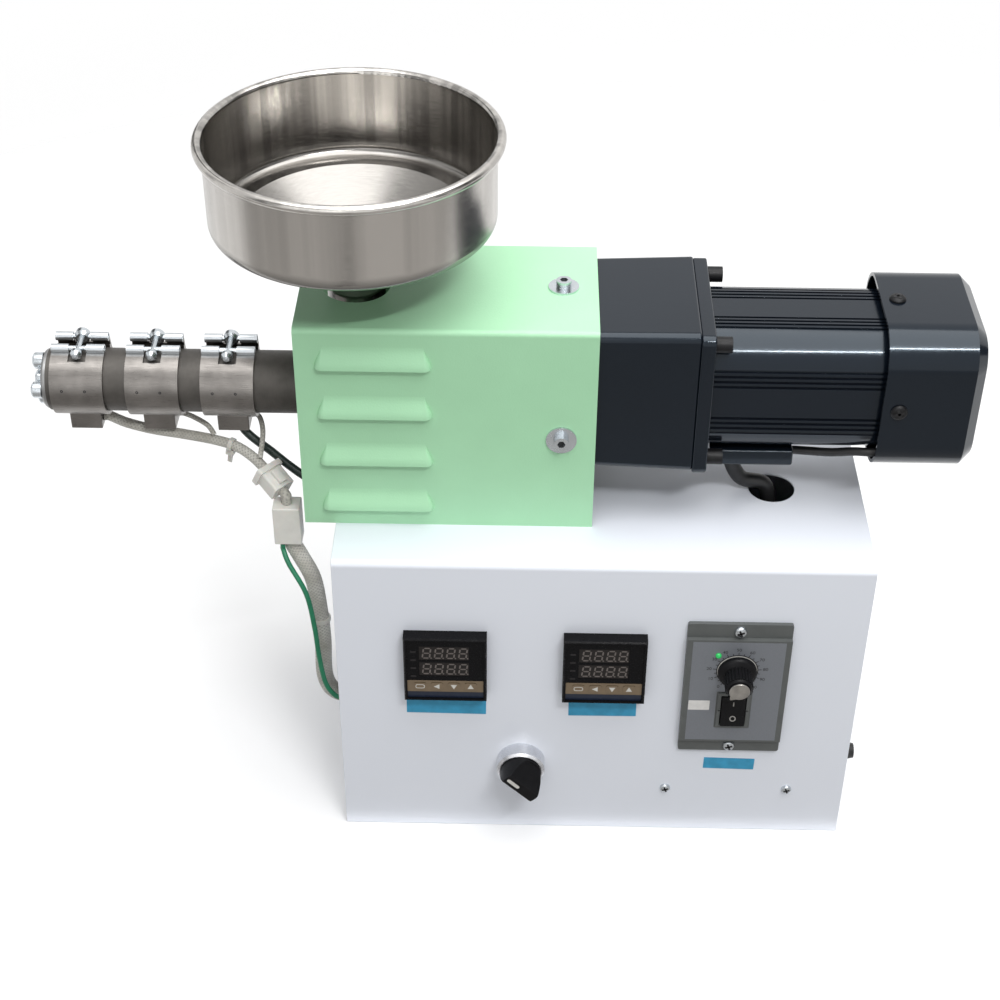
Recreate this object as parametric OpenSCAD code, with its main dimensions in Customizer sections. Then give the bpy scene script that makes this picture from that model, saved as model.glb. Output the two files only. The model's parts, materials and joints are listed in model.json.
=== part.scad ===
// Desktop single screw extruder on a sheet steel cabinet.
// Frame: origin at the centre of the cabinet's base, X along the machine with
// the motor at +X, the front panel facing -Y, Z up. All sizes in millimetres.

/* [Cabinet] */
// Width of the cabinet along the machine
cabinet_w = 305; // [295:1:340]
// Depth of the cabinet from front to back
cabinet_d = 165; // [150:1:190]
// Height of the cabinet
cabinet_h = 210; // [195:1:240]
// Thickness of the cabinet's sheet steel
cabinet_t = 1.5; // [1:0.1:2.5]
// Outside radius of the folded edges between top, front and back
cabinet_bend_r = 4; // [3:0.5:8]
// Depth of the flanges round each side panel
side_flange = 14; // [8:1:24]
// Diameter of the lead hole in the cabinet's top
lead_hole_d = 27; // [20:1:36]
// Place of the lead hole along the machine
lead_hole_x = 100; // [90:1:110]
// Place of the lead hole across the machine
lead_hole_y = -7; // [-12:1:0]

/* [Panel instruments] */
// Width and height of a temperature controller's bezel
controller_size = 48; // [44:1:52]
// Width and height of a temperature controller's body behind the panel
controller_body = 44.5; // [38:0.5:45]
// Depth of a temperature controller's body behind the panel
controller_depth = 74; // [50:1:90]
// How far a controller's bezel stands out of the panel
controller_proud = 8; // [5:0.5:11]
// Places of the two controllers along the panel
controller_x = [-89, 3];
// Height of the controllers' centres
controller_z = 136.5; // [130:0.5:145]
// Width of the speed controller's plate
speed_w = 60; // [56:1:66]
// Height of the speed controller's plate
speed_h = 100; // [96:1:106]
// Thickness of the speed controller's plate
speed_t = 5; // [4:0.5:8]
// Place of the speed controller along the panel
speed_x = 79.5; // [76:0.5:84]
// Height of the speed controller's centre
speed_z = 121; // [116:1:126]
// Height of the speed knob above the plate's centre
knob_rise = 17; // [14:0.5:20]
// Diameter of the speed knob's skirt
knob_d = 22.5; // [18:0.5:25]
// Height of the speed knob
knob_h = 17; // [13:0.5:22]
// Diameter of the potentiometer's shaft
pot_shaft_d = 6; // [4:0.5:7]
// Drop of the rocker switch below the plate's centre
rocker_drop = 14; // [13:0.5:18]
// Width of the rocker
rocker_w = 14; // [11:0.5:17]
// Height of the rocker
rocker_h = 21; // [17:0.5:23]
// Tilt of the rocker each way from level
rocker_tilt = 7; // [4:0.5:10]
// Place of the selector switch along the panel
selector_x = -44.5; // [-50:0.5:-40]
// Height of the selector switch
selector_z = 57; // [50:0.5:64]
// Diameter of the selector's ring
selector_d = 29; // [26:0.5:32]
// How far the selector's ring stands out of the panel
selector_proud = 10; // [7:0.5:13]
// Diameter of the selector's threaded body through the panel
selector_body_d = 22; // [20:0.5:24]

/* [Cover] */
// Distance of the cover's left end from the cabinet's middle
cover_reach = 170; // [164:1:176]
// Length of the cover
cover_l = 164; // [156:1:168]
// Width of the cover across the machine
cover_w = 94; // [93.5:0.5:104]
// Height of the cover
cover_h = 130; // [129.5:0.5:140]
// Thickness of the cover's sheet
cover_t = 1.5; // [1:0.1:1.6]
// Outside radius of the cover's folds
cover_bend_r = 3; // [2:0.5:4]
// Length of a louvre
louvre_l = 63; // [40:1:70]
// Height of a louvre
louvre_h = 13; // [9:0.5:16]
// How far a louvre stands out of the cover
louvre_proud = 4; // [2:0.5:6]
// Number of louvres on each side of the cover
louvre_count = 4; // [2:1:4]
// Distance between louvres
louvre_pitch = 31.5; // [26:0.5:33]
// Height of the lowest louvre's mouth above the cabinet
louvre_first = 12; // [8:0.5:14]
// Inset of the louvres from the cover's left end
louvre_inset = 11; // [8:1:30]
// Inset of the cover's screws from its right end
cover_screw_inset = 19; // [12:0.5:26]
// Height of the cover's side screws above the cabinet
cover_screw_rise = 61; // [54:1:70]

/* [Hopper] */
// Distance of the hopper's axis from the cover's left end
hopper_inset = 31; // [29:0.5:36]
// Outside diameter of the hopper's rolled rim
hopper_rim_d = 164; // [150:1:176]
// Diameter of the rolled bead on the rim
hopper_bead_d = 5.4; // [4:0.2:7]
// Height of the rim's bead above the cabinet
hopper_rise = 219; // [205:1:235]
// Height of the hopper's upright wall
hopper_wall_h = 49; // [38:1:55]
// Thickness of the hopper's sheet
hopper_t = 1; // [0.8:0.1:1.5]
// Radius of the fold between wall and floor
hopper_fold_r = 6; // [3:0.5:9]
// Diameter at the top of the hopper's cone
hopper_cone_d = 126; // [105:1:134]
// Height of the hopper's neck joint above the cabinet
hopper_neck_rise = 143; // [139:1:150]
// Outside diameter of the hopper's neck
neck_d = 32; // [27:0.5:34]
// Wall of the hopper's neck
neck_t = 1.5; // [1:0.1:2.5]
// Ring of clear space between the neck and the cover
neck_gap = 3; // [1:0.5:5]

/* [Barrel and screw] */
// Height of the barrel's axis above the cabinet
axis_rise = 65; // [64:0.5:66]
// Outside diameter of the barrel
barrel_d = 36; // [33:0.5:40]
// Bore of the barrel
barrel_bore = 20; // [14:0.5:22]
// Length of the barrel outside the cover
barrel_reach = 146; // [144:1:160]
// Diameter of the barrel's flange inside the cover
barrel_flange_d = 62; // [56:1:70]
// Thickness of the barrel's flange
barrel_flange_t = 10; // [8:0.5:10]
// Diameter of the screw's root
screw_root_d = 13; // [10:0.5:13.5]
// Pitch of the screw's flight
screw_pitch = 20; // [16:1:24]
// Running clearance between the flight and the bore
screw_gap = 0.2; // [0.1:0.05:0.5]
// Diameter of the die plate
die_d = 34; // [30:0.5:36]
// Thickness of the die plate
die_t = 3; // [2.5:0.5:6]
// Diameter of the die's bolt circle
die_bolt_pcd = 24; // [22:0.5:25]
// Diameter of a die bolt's head
die_bolt_d = 9.5; // [6:0.5:10]
// Height of a die bolt's head
die_bolt_h = 6; // [3:0.5:6]
// Outside diameter of the nozzle
nozzle_d = 11; // [9:0.5:12]
// Length of the nozzle in front of the die plate
nozzle_l = 6; // [5:0.5:12]
// Diameter of the nozzle's orifice
orifice_d = 3; // [2:0.5:4]

/* [Heater bands] */
// Outside diameter of a heater band
band_d = 40; // [39:0.5:43]
// Width of a heater band
band_w = 30; // [24:0.5:32]
// Distance of the first band's centre from the barrel's open end
band_first = 17.8; // [17:0.1:20]
// Distance between bands
band_pitch = 42.5; // [40:0.5:46]
// Radius of a band's rolled ends
band_roll_r = 2.6; // [2:0.1:3]
// Width of the screw slot in a band's rolled ends
band_slot_w = 10; // [9:0.5:11]
// Diameter of a clamp's cross bars
clamp_bar_d = 3.2; // [2:0.1:3.4]
// Diameter of a clamp's screw
clamp_screw_d = 3.4; // [2.5:0.1:4]
// Size of a band's terminal box along, across and down
terminal_box = [18, 15, 10.5];

/* [Drive] */
// Width of the motor frame's square flange
frame_size = 90; // [86:1:90]
// Distance of the motor's axis above the barrel's axis
shaft_offset = 16; // [15:0.5:18]
// Thickness of the motor's front flange
flange_t = 8; // [6:0.5:11]
// Distance of the flange from the cover's left end
flange_place = 218.5; // [214:0.5:224]
// Length of the gearbox
gearbox_l = 88.5; // [80:0.5:92]
// Taper of the gearbox from its flange to its far end, across
gearbox_taper = 4.5; // [2:0.5:8]
// Clear space between the gearbox and the cover
gearbox_gap = 1.25; // [0.5:0.25:3]
// Width of the motor's ribbed body
motor_size = 76; // [72:0.5:80]
// Radius of the motor body's smooth corners
motor_corner_r = 22; // [16:0.5:26]
// Width of a groove between the motor's ribs
rib_groove = 1.7; // [1:0.1:2.2]
// Distance between the motor's ribs
rib_pitch = 3.3; // [2.8:0.1:3.6]
// Number of grooves in each group of ribs
rib_count = 4; // [2:1:4]
// Length of the motor's body between its flange and the fan cap
motor_l = 93; // [80:1:110]
// Width of the fan cap
cap_size = 89; // [85:0.5:90]
// Length of the fan cap
cap_l = 54; // [40:1:60]
// Wall of the fan cap
cap_t = 2; // [1.5:0.1:2.5]
// Radius of the fan cap's corners
cap_corner_r = 21; // [17:0.5:26]
// How far the motor's body reaches into the fan cap
cap_overlap = 14; // [10:1:20]
// Depth of the fan cap's domed rear edge
cap_dome = 6; // [4:0.5:9]
// Number of vent slots in the fan cap's rear face
vent_count = 7; // [3:2:9]
// Width of a vent slot
vent_w = 3.6; // [2.5:0.1:5]
// Distance between vent slots
vent_pitch = 7.4; // [6:0.2:8]
// Diameter of the round field of vent slots
vent_field_d = 60; // [50:1:64]
// Number of blades on the fan
blade_count = 7; // [5:1:9]
// Diameter of the fan
fan_d = 68; // [60:1:72]
// Size of the terminal box under the motor along, across and down
motor_box = [47, 38, 10];

/* [Leads] */
// Diameter of the motor's lead
motor_lead_d = 9; // [7:0.5:10]
// Diameter of the lead into the fan cap
fan_lead_d = 5; // [3:0.5:5.5]
// Diameter of the sleeve on the heater harness
harness_d = 10; // [8:0.5:10]
// Diameter of a bundle of heater leads
heater_lead_d = 6; // [4:0.5:6]
// Diameter of the short leads of the middle and inner bands
short_lead_d = 3; // [2:0.5:4]
// Diameter of the earth wire
earth_d = 3; // [2:0.5:3.5]
// Size of the connector block along, across and up
connector = [16, 13, 26];

/* [Hidden] */
$fn = 48;
// Clearance between fitted sheets, and of round pieces in their holes
fit = 0.15;
// Clearance of a turning shaft in its bore
shaft_fit = 0.05;
// Overlap that makes a cut come out clean
over = 0.5;

panel_y = -cabinet_d / 2;
axis_z = cabinet_h + axis_rise;
cover_x = -cover_reach;
cover_end_x = cover_x + cover_l;
cover_top_z = cabinet_h + cover_h;
cover_inside = cover_w / 2 - cover_t;

// Under the cover: base plate, blocks and upright that carry barrel and gearbox
inset = 2;
louvre_t = 1.2;
louvre_throat_h = 8;
louvre_step = 22.5;
louvre_corner_r = 6;
cover_hole_d = 5.5;
washer_d = 17;
base_plate_t = 8;
base_plate_w = 2 * (cover_inside - inset);
base_top_z = cabinet_h + base_plate_t;
block_gap = 12.5;
block_w = 2 * (cover_inside - block_gap);
flange_x = cover_x + inset;
block_x = flange_x + barrel_flange_t;
block_l = 2 * (cover_x + hopper_inset - block_x);
block_top = 40;
housing_l = 34;
housing_x = block_x + block_l;
housing_d = 58;
upright_t = 12;
gearbox_x = cover_x + flange_place - gearbox_l;
upright_x = gearbox_x - upright_t;
coupling_d = 34;
shaft_d = 15;

hopper_x = cover_x + hopper_inset;
rim_z = cabinet_h + hopper_rise;
wall_r = hopper_rim_d / 2 - hopper_bead_d + hopper_t;
floor_z = rim_z - hopper_wall_h;
neck_z = cabinet_h + hopper_neck_rise;
throat_d = neck_d - 2 * neck_t;

barrel_x = cover_x - barrel_reach;
die_x = barrel_x - die_t;
feed_hole_d = barrel_bore - 2;
die_edge = 1.2;
nozzle_step = 1.5;
screw_tip_gap = 6;
bands = [for (i = [0:2]) barrel_x + band_first + i * band_pitch];
// Places across and above the barrel's axis of a band's rolled ends, and of the tail behind
front_roll = [-1.2, band_d / 2 + 1.2];
rear_roll = [11.5, band_d / 2 + 1.4];
rear_tail = [band_d / 2 - 4, band_d / 2 - 8.6];
slot_front = -9.5;
slot_depth = 3.5;
tail_root = [2, 0.4];
tail_lip = [0.4, 0.2];
tail_t = [1.8, 0.8];
clamp_head_y = -8;
clamp_head_d = 6.6;
clamp_head_crown = 2.4;
clamp_head_flat = [1.8, 2];
clamp_head_side = 2.2;
clamp_head_back = [1.6, 4];
clamp_l = 26;
clamp_bar_inset = 0.5;
clamp_eye_r = band_slot_w / 2 - 0.5;
clamp_eye_l = 6;
clamp_eye_edge = 1.4;
clamp_eye_inset = 2;

motor_z = axis_z + shaft_offset;
motor_flange_x = gearbox_x + gearbox_l;
motor_x = motor_flange_x + flange_t;
cap_x = motor_x + motor_l;
motor_end_x = cap_x + cap_overlap;
frame_r = 5;
bolt_inset = 8;
bolt_place = frame_size / 2 - bolt_inset;
bolt_head_d = 9;
bolt_head_h = 9;
bolt_socket = 5;
flange_lip = 0.75;
gearbox_flare_w = frame_size - 2 * flange_lip;
gearbox_w = min(gearbox_flare_w, 2 * (cover_inside - gearbox_gap));
gearbox_top = cover_top_z - cover_t - gearbox_gap;
gearbox_foot = motor_z - frame_size / 2 + gearbox_gap;
upright_drop = 2;
motor_box_x = motor_x + 3;
motor_box_y = -30;

// Where the leads start and end
lead_gap = 0.4;
harness_hole = [-50, 79.8];
earth_hole = [-61.9, 86.5];
gland_at = [-42, 30];
connector_out = 29.5;
connector_clear = 12;
connector_at = [min(-cabinet_w / 2 - connector_out, cover_x - connector_clear), -33, cabinet_h - 10];
connector_top = connector_at + [0, 0, connector[2] / 2 + lead_gap];
connector_foot = connector_at - [0, 0, connector[2] / 2 + lead_gap];
side_entry = [-cabinet_w / 2, harness_hole[0], harness_hole[1]];
earth_entry = [-cabinet_w / 2, earth_hole[0], earth_hole[1]];
lead_entry = [lead_hole_x, lead_hole_y, cabinet_h];
motor_box_z = motor_z - motor_size / 2 - motor_box[2];
motor_box_foot = [motor_box_x + 14.5, motor_box_y + 21, motor_box_z - lead_gap];
motor_box_end = [motor_box_x + motor_box[0] + lead_gap, motor_box_y + 10, motor_box_z + 4];
cap_entry = [cap_x, -cap_size / 2 + 10.5, motor_z - cap_size / 2 + 9.8];
function band_box_end(i) = [bands[i] + terminal_box[0] / 2 + lead_gap, 0,
    axis_z - band_d / 2 - terminal_box[2] / 2];

// Routes of the leads, chosen by hand from those places
function from(place, route) = [for (p = route) place + p];
motor_lead_route = concat(
    from(motor_box_foot, [[0, 0, 0], [0, 0, -3], [1, 0, -13], [8, 1, -25]]),
    from(lead_entry, [[-4.5, 0, 3], [-1, 0, -12], [0, 0, -32]]));
fan_lead_route = concat(
    from(motor_box_end, [[0, 0, 0], [3, 0, 0], [9, -2, 1], [21, -6.5, 3.5], [33, -11, 7.5]]),
    from(cap_entry, [[-1.5, 0, 0], [9.5, -0.4, 0.5]]));
main_lead_route = concat(
    from(band_box_end(0), [[0, 0, 0], [3, 0, -0.4], [12, 0, -5], [27, -1, -8.7], [44, -3, -10.2],
        [64, -7, -11.4], [78, -11, -13.7]]),
    from(connector_top, [[-17, 15, 17.7], [-7, 7, 9.7], [-0.4, 0.4, 5.5], [0, 0, 3], [0, 0, 0]]));
short_lead_routes = [
    from(band_box_end(1), [[0, 3, 0], [3, 3, 0], [9, 1, -1.2], [17.4, -4, -3.2], [21.4, -7, -7.7]]),
    from(band_box_end(2), [[0, 3, 0], [3, 3, 0], [5.5, -0.5, -1.5], [7.4, -9, -5.2], [6.3, -18.9, -15.2]])];
harness_route = concat(
    from(connector_foot, [[2, 0, 0], [2, 0, -2], [2, 0, -4], [6, -2, -11], [13, -6, -25], [16, -10, -45]]),
    from(side_entry, [[-12, 3.5, 42], [-12.3, 1, 24], [-11.6, 0, 13], [-8.6, 0, 4.6], [-4, 0, 0.6],
        [0.5, 0, 0], [14, 0, 0]]));
earth_route = concat(
    from(connector_foot, [[-3.5, -4.7, 0], [-3.5, -4.7, -2], [-3.5, -4.7, -4], [0, -10, -11],
        [10, -18, -27], [14, -22, -49]]),
    from(earth_entry, [[-13.5, 3.9, 29.5], [-10.5, 1.4, 11.5], [-5.5, 0.4, 2.5], [0.5, 0, 0],
        [12.5, 0, -1]]));

// Shapes used by several pieces

// Rectangle with true round corners, centred
module round_rect(w, h, r) {
    square([w, h - 2 * r], center = true);
    square([w - 2 * r, h], center = true);
    for (x = [-1, 1], y = [-1, 1]) translate([x * (w / 2 - r), y * (h / 2 - r)]) circle(r);
}

// Outline of a folded sheet from outside: flat foot at 0, round upper corners
module arch(w, h, r) {
    translate([-w / 2, 0]) square([w, h - r]);
    translate([-w / 2 + r, 0]) square([w - 2 * r, h]);
    for (x = [-1, 1]) translate([x * (w / 2 - r), h - r]) circle(r);
}

// Stands an outline across the machine at x and runs it along X
module along_x(x, l) {
    translate([x, 0, 0]) rotate([90, 0, 90]) linear_extrude(l) children();
}

// Turns a piece so that its Z axis runs along X from a point on the barrel's axis
module on_axis(x) {
    translate([x, 0, axis_z]) rotate([0, 90, 0]) children();
}

// Places a piece on the front panel: its Z axis points out of the panel
module on_panel(x, z) {
    translate([x, panel_y, z]) rotate([90, 0, 0]) children();
}

// Points on a smooth curve through a route, with some steps between its points
function between(a, b, c, d, t) = 0.5 * (2 * b + (c - a) * t + (2 * a - 5 * b + 4 * c - d) * t * t
    + (3 * b - a - 3 * c + d) * t * t * t);
function smooth(route, steps) = let (n = len(route)) concat(
    [for (i = [0:n - 2], s = [0:steps - 1])
        between(route[max(i - 1, 0)], route[i], route[i + 1], route[min(i + 2, n - 1)], s / steps)],
    [route[n - 1]]);
function unit(v) = v / norm(v);

// Round tube swept along a route
module tube(route, d, steps = 2, sides = 10) {
    path = smooth(route, steps);
    n = len(path);
    ring = [for (i = [0:n - 1]) let (
            along = unit(path[min(i + 1, n - 1)] - path[max(i - 1, 0)]),
            side = unit(cross(along, abs(along[1]) < 0.9 ? [0, 1, 0] : [1, 0, 0])),
            up = cross(side, along))
        for (k = [0:sides - 1])
            path[i] + d / 2 * (cos(360 * k / sides) * side - sin(360 * k / sides) * up)];
    polyhedron(ring, skin(n, sides));
}

// Triangles between rings of points that follow each other, closed at both ends
function skin(rings, sides) = concat(
    [[for (k = [0:sides - 1]) k]],
    [for (i = [0:rings - 2], k = [0:sides - 1], half = [0, 1]) let (
            m = (k + 1) % sides,
            a = i * sides,
            b = a + sides)
        half == 0 ? [a + k, b + k, b + m] : [a + k, b + m, a + m]],
    [[for (k = [sides - 1:-1:0]) (rings - 1) * sides + k]]);

// Cabinet

module cabinet_shell() {
    color("whitesmoke") difference() {
        along_x(-cabinet_w / 2, cabinet_w) difference() {
            arch(cabinet_d, cabinet_h, cabinet_bend_r);
            translate([0, -over]) arch(cabinet_d - 2 * cabinet_t, cabinet_h - cabinet_t + over,
                cabinet_bend_r - cabinet_t);
        }
        for (x = controller_x)
            panel_cut(x, controller_z, controller_body + 2 * fit, controller_body + 2 * fit);
        panel_cut(speed_x, speed_z, speed_body[0] + 2 * fit, speed_body[1] + 2 * fit);
        on_panel(selector_x, selector_z)
            cylinder(d = selector_body_d + 2 * fit, h = 4 * cabinet_t, center = true);
        translate([lead_hole_x, lead_hole_y, cabinet_h])
            cylinder(d = lead_hole_d, h = 4 * cabinet_t, center = true);
    }
}

module panel_cut(x, z, w, h) {
    translate([x, panel_y, z]) cube([w, 4 * cabinet_t, h], center = true);
}

// Side panel as a shallow pan whose flanges lie inside the folded sheet
module side_pan() {
    w = cabinet_d - 2 * cabinet_t - 2 * fit;
    foot = cabinet_t + fit;
    h = cabinet_h - cabinet_t - fit - foot;
    r = cabinet_bend_r - cabinet_t;
    translate([0, 0, foot]) {
        along_x(0, cabinet_t) arch(w, h, r);
        along_x(0, side_flange) difference() {
            arch(w, h, r);
            translate([0, -over]) arch(w - 2 * cabinet_t, h - cabinet_t + over, max(r - cabinet_t, 0.5));
        }
    }
}

module cabinet_left_side() {
    color("whitesmoke") difference() {
        translate([-cabinet_w / 2, 0, 0]) side_pan();
        for (hole = [[harness_hole, grommet_groove_d], [earth_hole, 2.2 * earth_d]])
            translate([-cabinet_w / 2, hole[0][0], hole[0][1]]) rotate([0, 90, 0])
                cylinder(d = hole[1], h = 4 * cabinet_t, center = true);
    }
}

module cabinet_right_side() {
    color("whitesmoke") difference() {
        translate([cabinet_w / 2, 0, 0]) mirror([1, 0, 0]) side_pan();
        translate([cabinet_w / 2, gland_at[0], gland_at[1]]) rotate([0, 90, 0])
            cylinder(d = gland_groove_d, h = 4 * cabinet_t, center = true);
    }
}

module cabinet_base() {
    color("gainsboro") translate([-cabinet_w / 2, -cabinet_d / 2 + cabinet_t + fit, 0])
        cube([cabinet_w, cabinet_d - 2 * (cabinet_t + fit), cabinet_t]);
}

// Panel instruments

bezel_lip = 0.8;
bezel_rim = 1;
face_sink = 1;
window = [29, 10.6];
window_x = -0.6;
window_rise = [12.5, 0.4];
window_sink = 0.6;
key = [7, 5.6];
key_r = 1.2;
key_pitch = 9.8;
key_drop = 12.7;
key_proud = 0.4;
strip_h = 5.6;

// Panel meter: bevelled bezel, sunk face with two display windows, four keys and a lower strip, and its case
// behind the panel
module temperature_controller(x) {
    face = controller_size - 2 * (bezel_lip + bezel_rim);
    face_z = controller_proud - face_sink;
    color([0.07, 0.07, 0.08]) on_panel(x, controller_z) {
        difference() {
            hull() {
                linear_extrude(controller_proud - bezel_lip) square(controller_size, center = true);
                linear_extrude(controller_proud) square(controller_size - 2 * bezel_lip, center = true);
            }
            translate([0, 0, face_z]) linear_extrude(controller_proud) square(face, center = true);
            for (rise = window_rise) translate([window_x, rise, face_z - window_sink])
                linear_extrude(controller_proud) square(window, center = true);
            translate([0, (strip_h - face) / 2, face_z - window_sink]) linear_extrude(controller_proud)
                square([face, strip_h], center = true);
        }
        for (i = [-1.5:1.5]) translate([i * key_pitch, -key_drop, face_z - over])
            linear_extrude(key_proud + over) round_rect(key[0], key[1], key_r, $fn = 16);
        translate([-controller_body / 2, -controller_body / 2, -controller_depth])
            cube([controller_body, controller_body, controller_depth]);
    }
}

module left_temperature_controller() temperature_controller(controller_x[0]);
module right_temperature_controller() temperature_controller(controller_x[1]);

speed_body = [speed_w - 8, speed_h - 24, 34];
speed_corner_r = 1.5;
tab_h = 10;
tab_drop = 2.6;
tab_hole_d = 4;
rocker_frame = 2;
rocker_lip = 1;
rocker_well = 7;
rocker_room = 0.6;
rocker_pin_d = 2;
rocker_pin_l = 1.4;
pin_room = 0.5;
pot_shaft_l = knob_h - 3;
knob_clear = 0.8;

// Plate with a raised face between two screw tabs, shaft of the potentiometer and framed window of the rocker
module speed_controller() {
    opening = [rocker_w + 2 * rocker_room, rocker_h + 4 * rocker_room];
    color([0.5, 0.52, 0.54]) on_panel(speed_x, speed_z) {
        difference() {
            union() {
                linear_extrude(speed_t) round_rect(speed_w, speed_h, speed_corner_r);
                translate([0, -rocker_drop, 0]) linear_extrude(speed_t + rocker_lip)
                    square(opening + 2 * rocker_frame * [1, 1], center = true);
                translate([-speed_body[0] / 2, -speed_body[1] / 2, -speed_body[2]])
                    cube([speed_body[0], speed_body[1], speed_body[2] + over]);
            }
            for (side = [-1, 1]) {
                translate([0, side * speed_h / 2, speed_t])
                    cube([speed_w + 2 * over, 2 * tab_h, 2 * tab_drop], center = true);
                translate([0, side * (speed_h - tab_h) / 2, -over]) cylinder(d = tab_hole_d, h = speed_t);
            }
            translate([0, -rocker_drop, speed_t - rocker_well]) linear_extrude(rocker_well + 2 * rocker_lip)
                square(opening, center = true);
            translate([0, -rocker_drop, speed_t]) rotate([0, 90, 0])
                cylinder(d = rocker_pin_d + 2 * shaft_fit, h = rocker_w + 2 * (rocker_pin_l + pin_room),
                    center = true);
        }
        translate([0, knob_rise, speed_t - over]) cylinder(d = pot_shaft_d, h = pot_shaft_l + over);
    }
}

// Angle of the knob's pointer at its lowest setting, from the panel's X axis
knob_rest = 232;
skirt_h = 2.2;
skirt_edge = 1.2;
grip_d = 15;
grip_edge = 1;
grip_rib_d = 1.4;
grip_ribs = 24;
grip_rib_inset = 0.5;
cap_disc_d = 11.6;
cap_disc_h = 1;
pointer = [9.4, 1.6];
bore_room = 0.4;

// Skirted knob with a ribbed grip, a disc on top and a pointer, turned about the potentiometer's shaft
module speed_knob() {
    grip_top = knob_h - cap_disc_h;
    grip_foot = skirt_h + 2 * skirt_edge;
    grip_head = grip_top - grip_edge;
    color([0.08, 0.08, 0.08]) on_panel(speed_x, speed_z + knob_rise)
            translate([0, 0, speed_t + knob_clear]) {
        difference() {
            union() {
                rotate_extrude() polygon([[0, 0], [knob_d / 2, 0], [knob_d / 2, skirt_h],
                    [knob_d / 2 - skirt_edge, skirt_h + skirt_edge], [grip_d / 2, grip_foot],
                    [grip_d / 2, grip_head], [grip_d / 2 - grip_edge, grip_top], [0, grip_top]]);
                for (k = [0:grip_ribs - 1]) rotate(360 * k / grip_ribs)
                    translate([grip_d / 2, 0, grip_foot + grip_rib_inset])
                        cylinder(d = grip_rib_d, h = grip_head - grip_foot - 2 * grip_rib_inset, $fn = 16);
            }
            translate([0, 0, -over])
                cylinder(d = pot_shaft_d + 2 * shaft_fit, h = pot_shaft_l + over - knob_clear + bore_room);
        }
        translate([0, 0, grip_top - over]) {
            cylinder(d = cap_disc_d, h = cap_disc_h + over);
            rotate(knob_rest) translate([0, -pointer[1] / 2, 0])
                cube([pointer[0], pointer[1], cap_disc_h + over]);
        }
    }
}

rocker_rise = 2.4;
rocker_dip = 1.2;
rocker_foot = 2.5;
rocker_keel = 3.6;

// Rocker with a shallow V face, on two side pins
module power_rocker() {
    half = rocker_h / 2;
    color([0.05, 0.05, 0.06]) on_panel(speed_x, speed_z - rocker_drop) translate([0, 0, speed_t])
        rotate([-rocker_tilt, 0, 0]) {
            translate([-rocker_w / 2, 0, 0]) rotate([90, 0, 90]) linear_extrude(rocker_w)
                polygon([[-half, -rocker_foot], [-half, rocker_rise], [0, rocker_dip], [half, rocker_rise],
                    [half, -rocker_foot], [0, -rocker_keel]]);
            rotate([0, 90, 0])
                cylinder(d = rocker_pin_d, h = rocker_w + 2 * rocker_pin_l, center = true, $fn = 24);
        }
}

// Angle of the selector's lever at rest, from the panel's X axis
selector_rest = 135;
selector_shaft_d = 11;
selector_cup_d = selector_d - 4;
selector_depth = 24;
selector_floor = 3;
selector_edge = 1.4;
nut_t = 4;
nut_rim = 3.5;

// Chrome ring with a sunk cup, and the threaded body with its nut behind the panel
module selector_ring() {
    r = selector_d / 2;
    body_r = selector_body_d / 2;
    bore_r = selector_shaft_d / 2 + shaft_fit;
    cup_r = selector_cup_d / 2;
    nut_z = -cabinet_t - fit;
    color("silver") on_panel(selector_x, selector_z) rotate_extrude()
        polygon([[bore_r, -selector_depth], [body_r, -selector_depth], [body_r, nut_z - nut_t],
            [body_r + nut_rim, nut_z - nut_t], [body_r + nut_rim, nut_z], [body_r, nut_z], [body_r, 0],
            [r, 0],
            [r, selector_proud - selector_edge], [r - selector_edge, selector_proud], [cup_r, selector_proud],
            [cup_r, selector_floor], [bore_r, selector_floor]]);
}

disc_room = 0.3;
disc_h = 8;
shaft_depth = 20;
lever_h = 24;
lever_w = 8;
lever_foot = 9;
lever_edge = 1;

// Turning disc with a wedge lever across it
module selector_knob() {
    disc_r = selector_cup_d / 2 - disc_room;
    disc_z = selector_floor + disc_room;
    color([0.06, 0.06, 0.06]) on_panel(selector_x, selector_z) rotate(selector_rest) {
        translate([0, 0, disc_z]) cylinder(r = disc_r, h = disc_h);
        translate([0, 0, -shaft_depth]) cylinder(d = selector_shaft_d, h = shaft_depth + disc_z + over);
        intersection() {
            cylinder(r = disc_r, h = lever_h);
            rotate([90, 0, 90]) translate([0, disc_z, -disc_r]) linear_extrude(2 * disc_r)
                polygon([[-disc_r, 0], [-disc_r, lever_foot - disc_z],
                    [-lever_w / 2, lever_h - disc_z - lever_edge],
                    [lever_edge - lever_w / 2, lever_h - disc_z],
                    [lever_w / 2 - lever_edge, lever_h - disc_z],
                    [lever_w / 2, lever_h - disc_z - lever_edge],
                    [disc_r, lever_foot - disc_z], [disc_r, 0]]);
        }
    }
}

gland_groove_d = 15;
gland_lip = [2, 3];
gland_body_d = 12;
gland_nose_d = 9.2;
gland_shoulder = 6;
gland_l = 13;
gland_recess_d = 6;
gland_recess = 4;
grommet_groove_d = harness_d + 6;
grommet_lip = [2.5, 2];
grommet_gap = 1.2;
lip_edge = 0.8;

// Ring that snaps into a side panel's hole, with a groove for the sheet and a lip on either side
module snap_ring(inner, groove, lip) {
    sheet = cabinet_t / 2 + fit;
    outer = groove + lip[0];
    end = sheet + lip[1];
    polygon([[inner, -end], [outer - lip_edge, -end], [outer, lip_edge - end], [outer, -sheet],
        [groove - fit, -sheet], [groove - fit, sheet], [outer, sheet], [outer, end - lip_edge],
        [outer - lip_edge, end], [inner, end]]);
}

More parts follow.
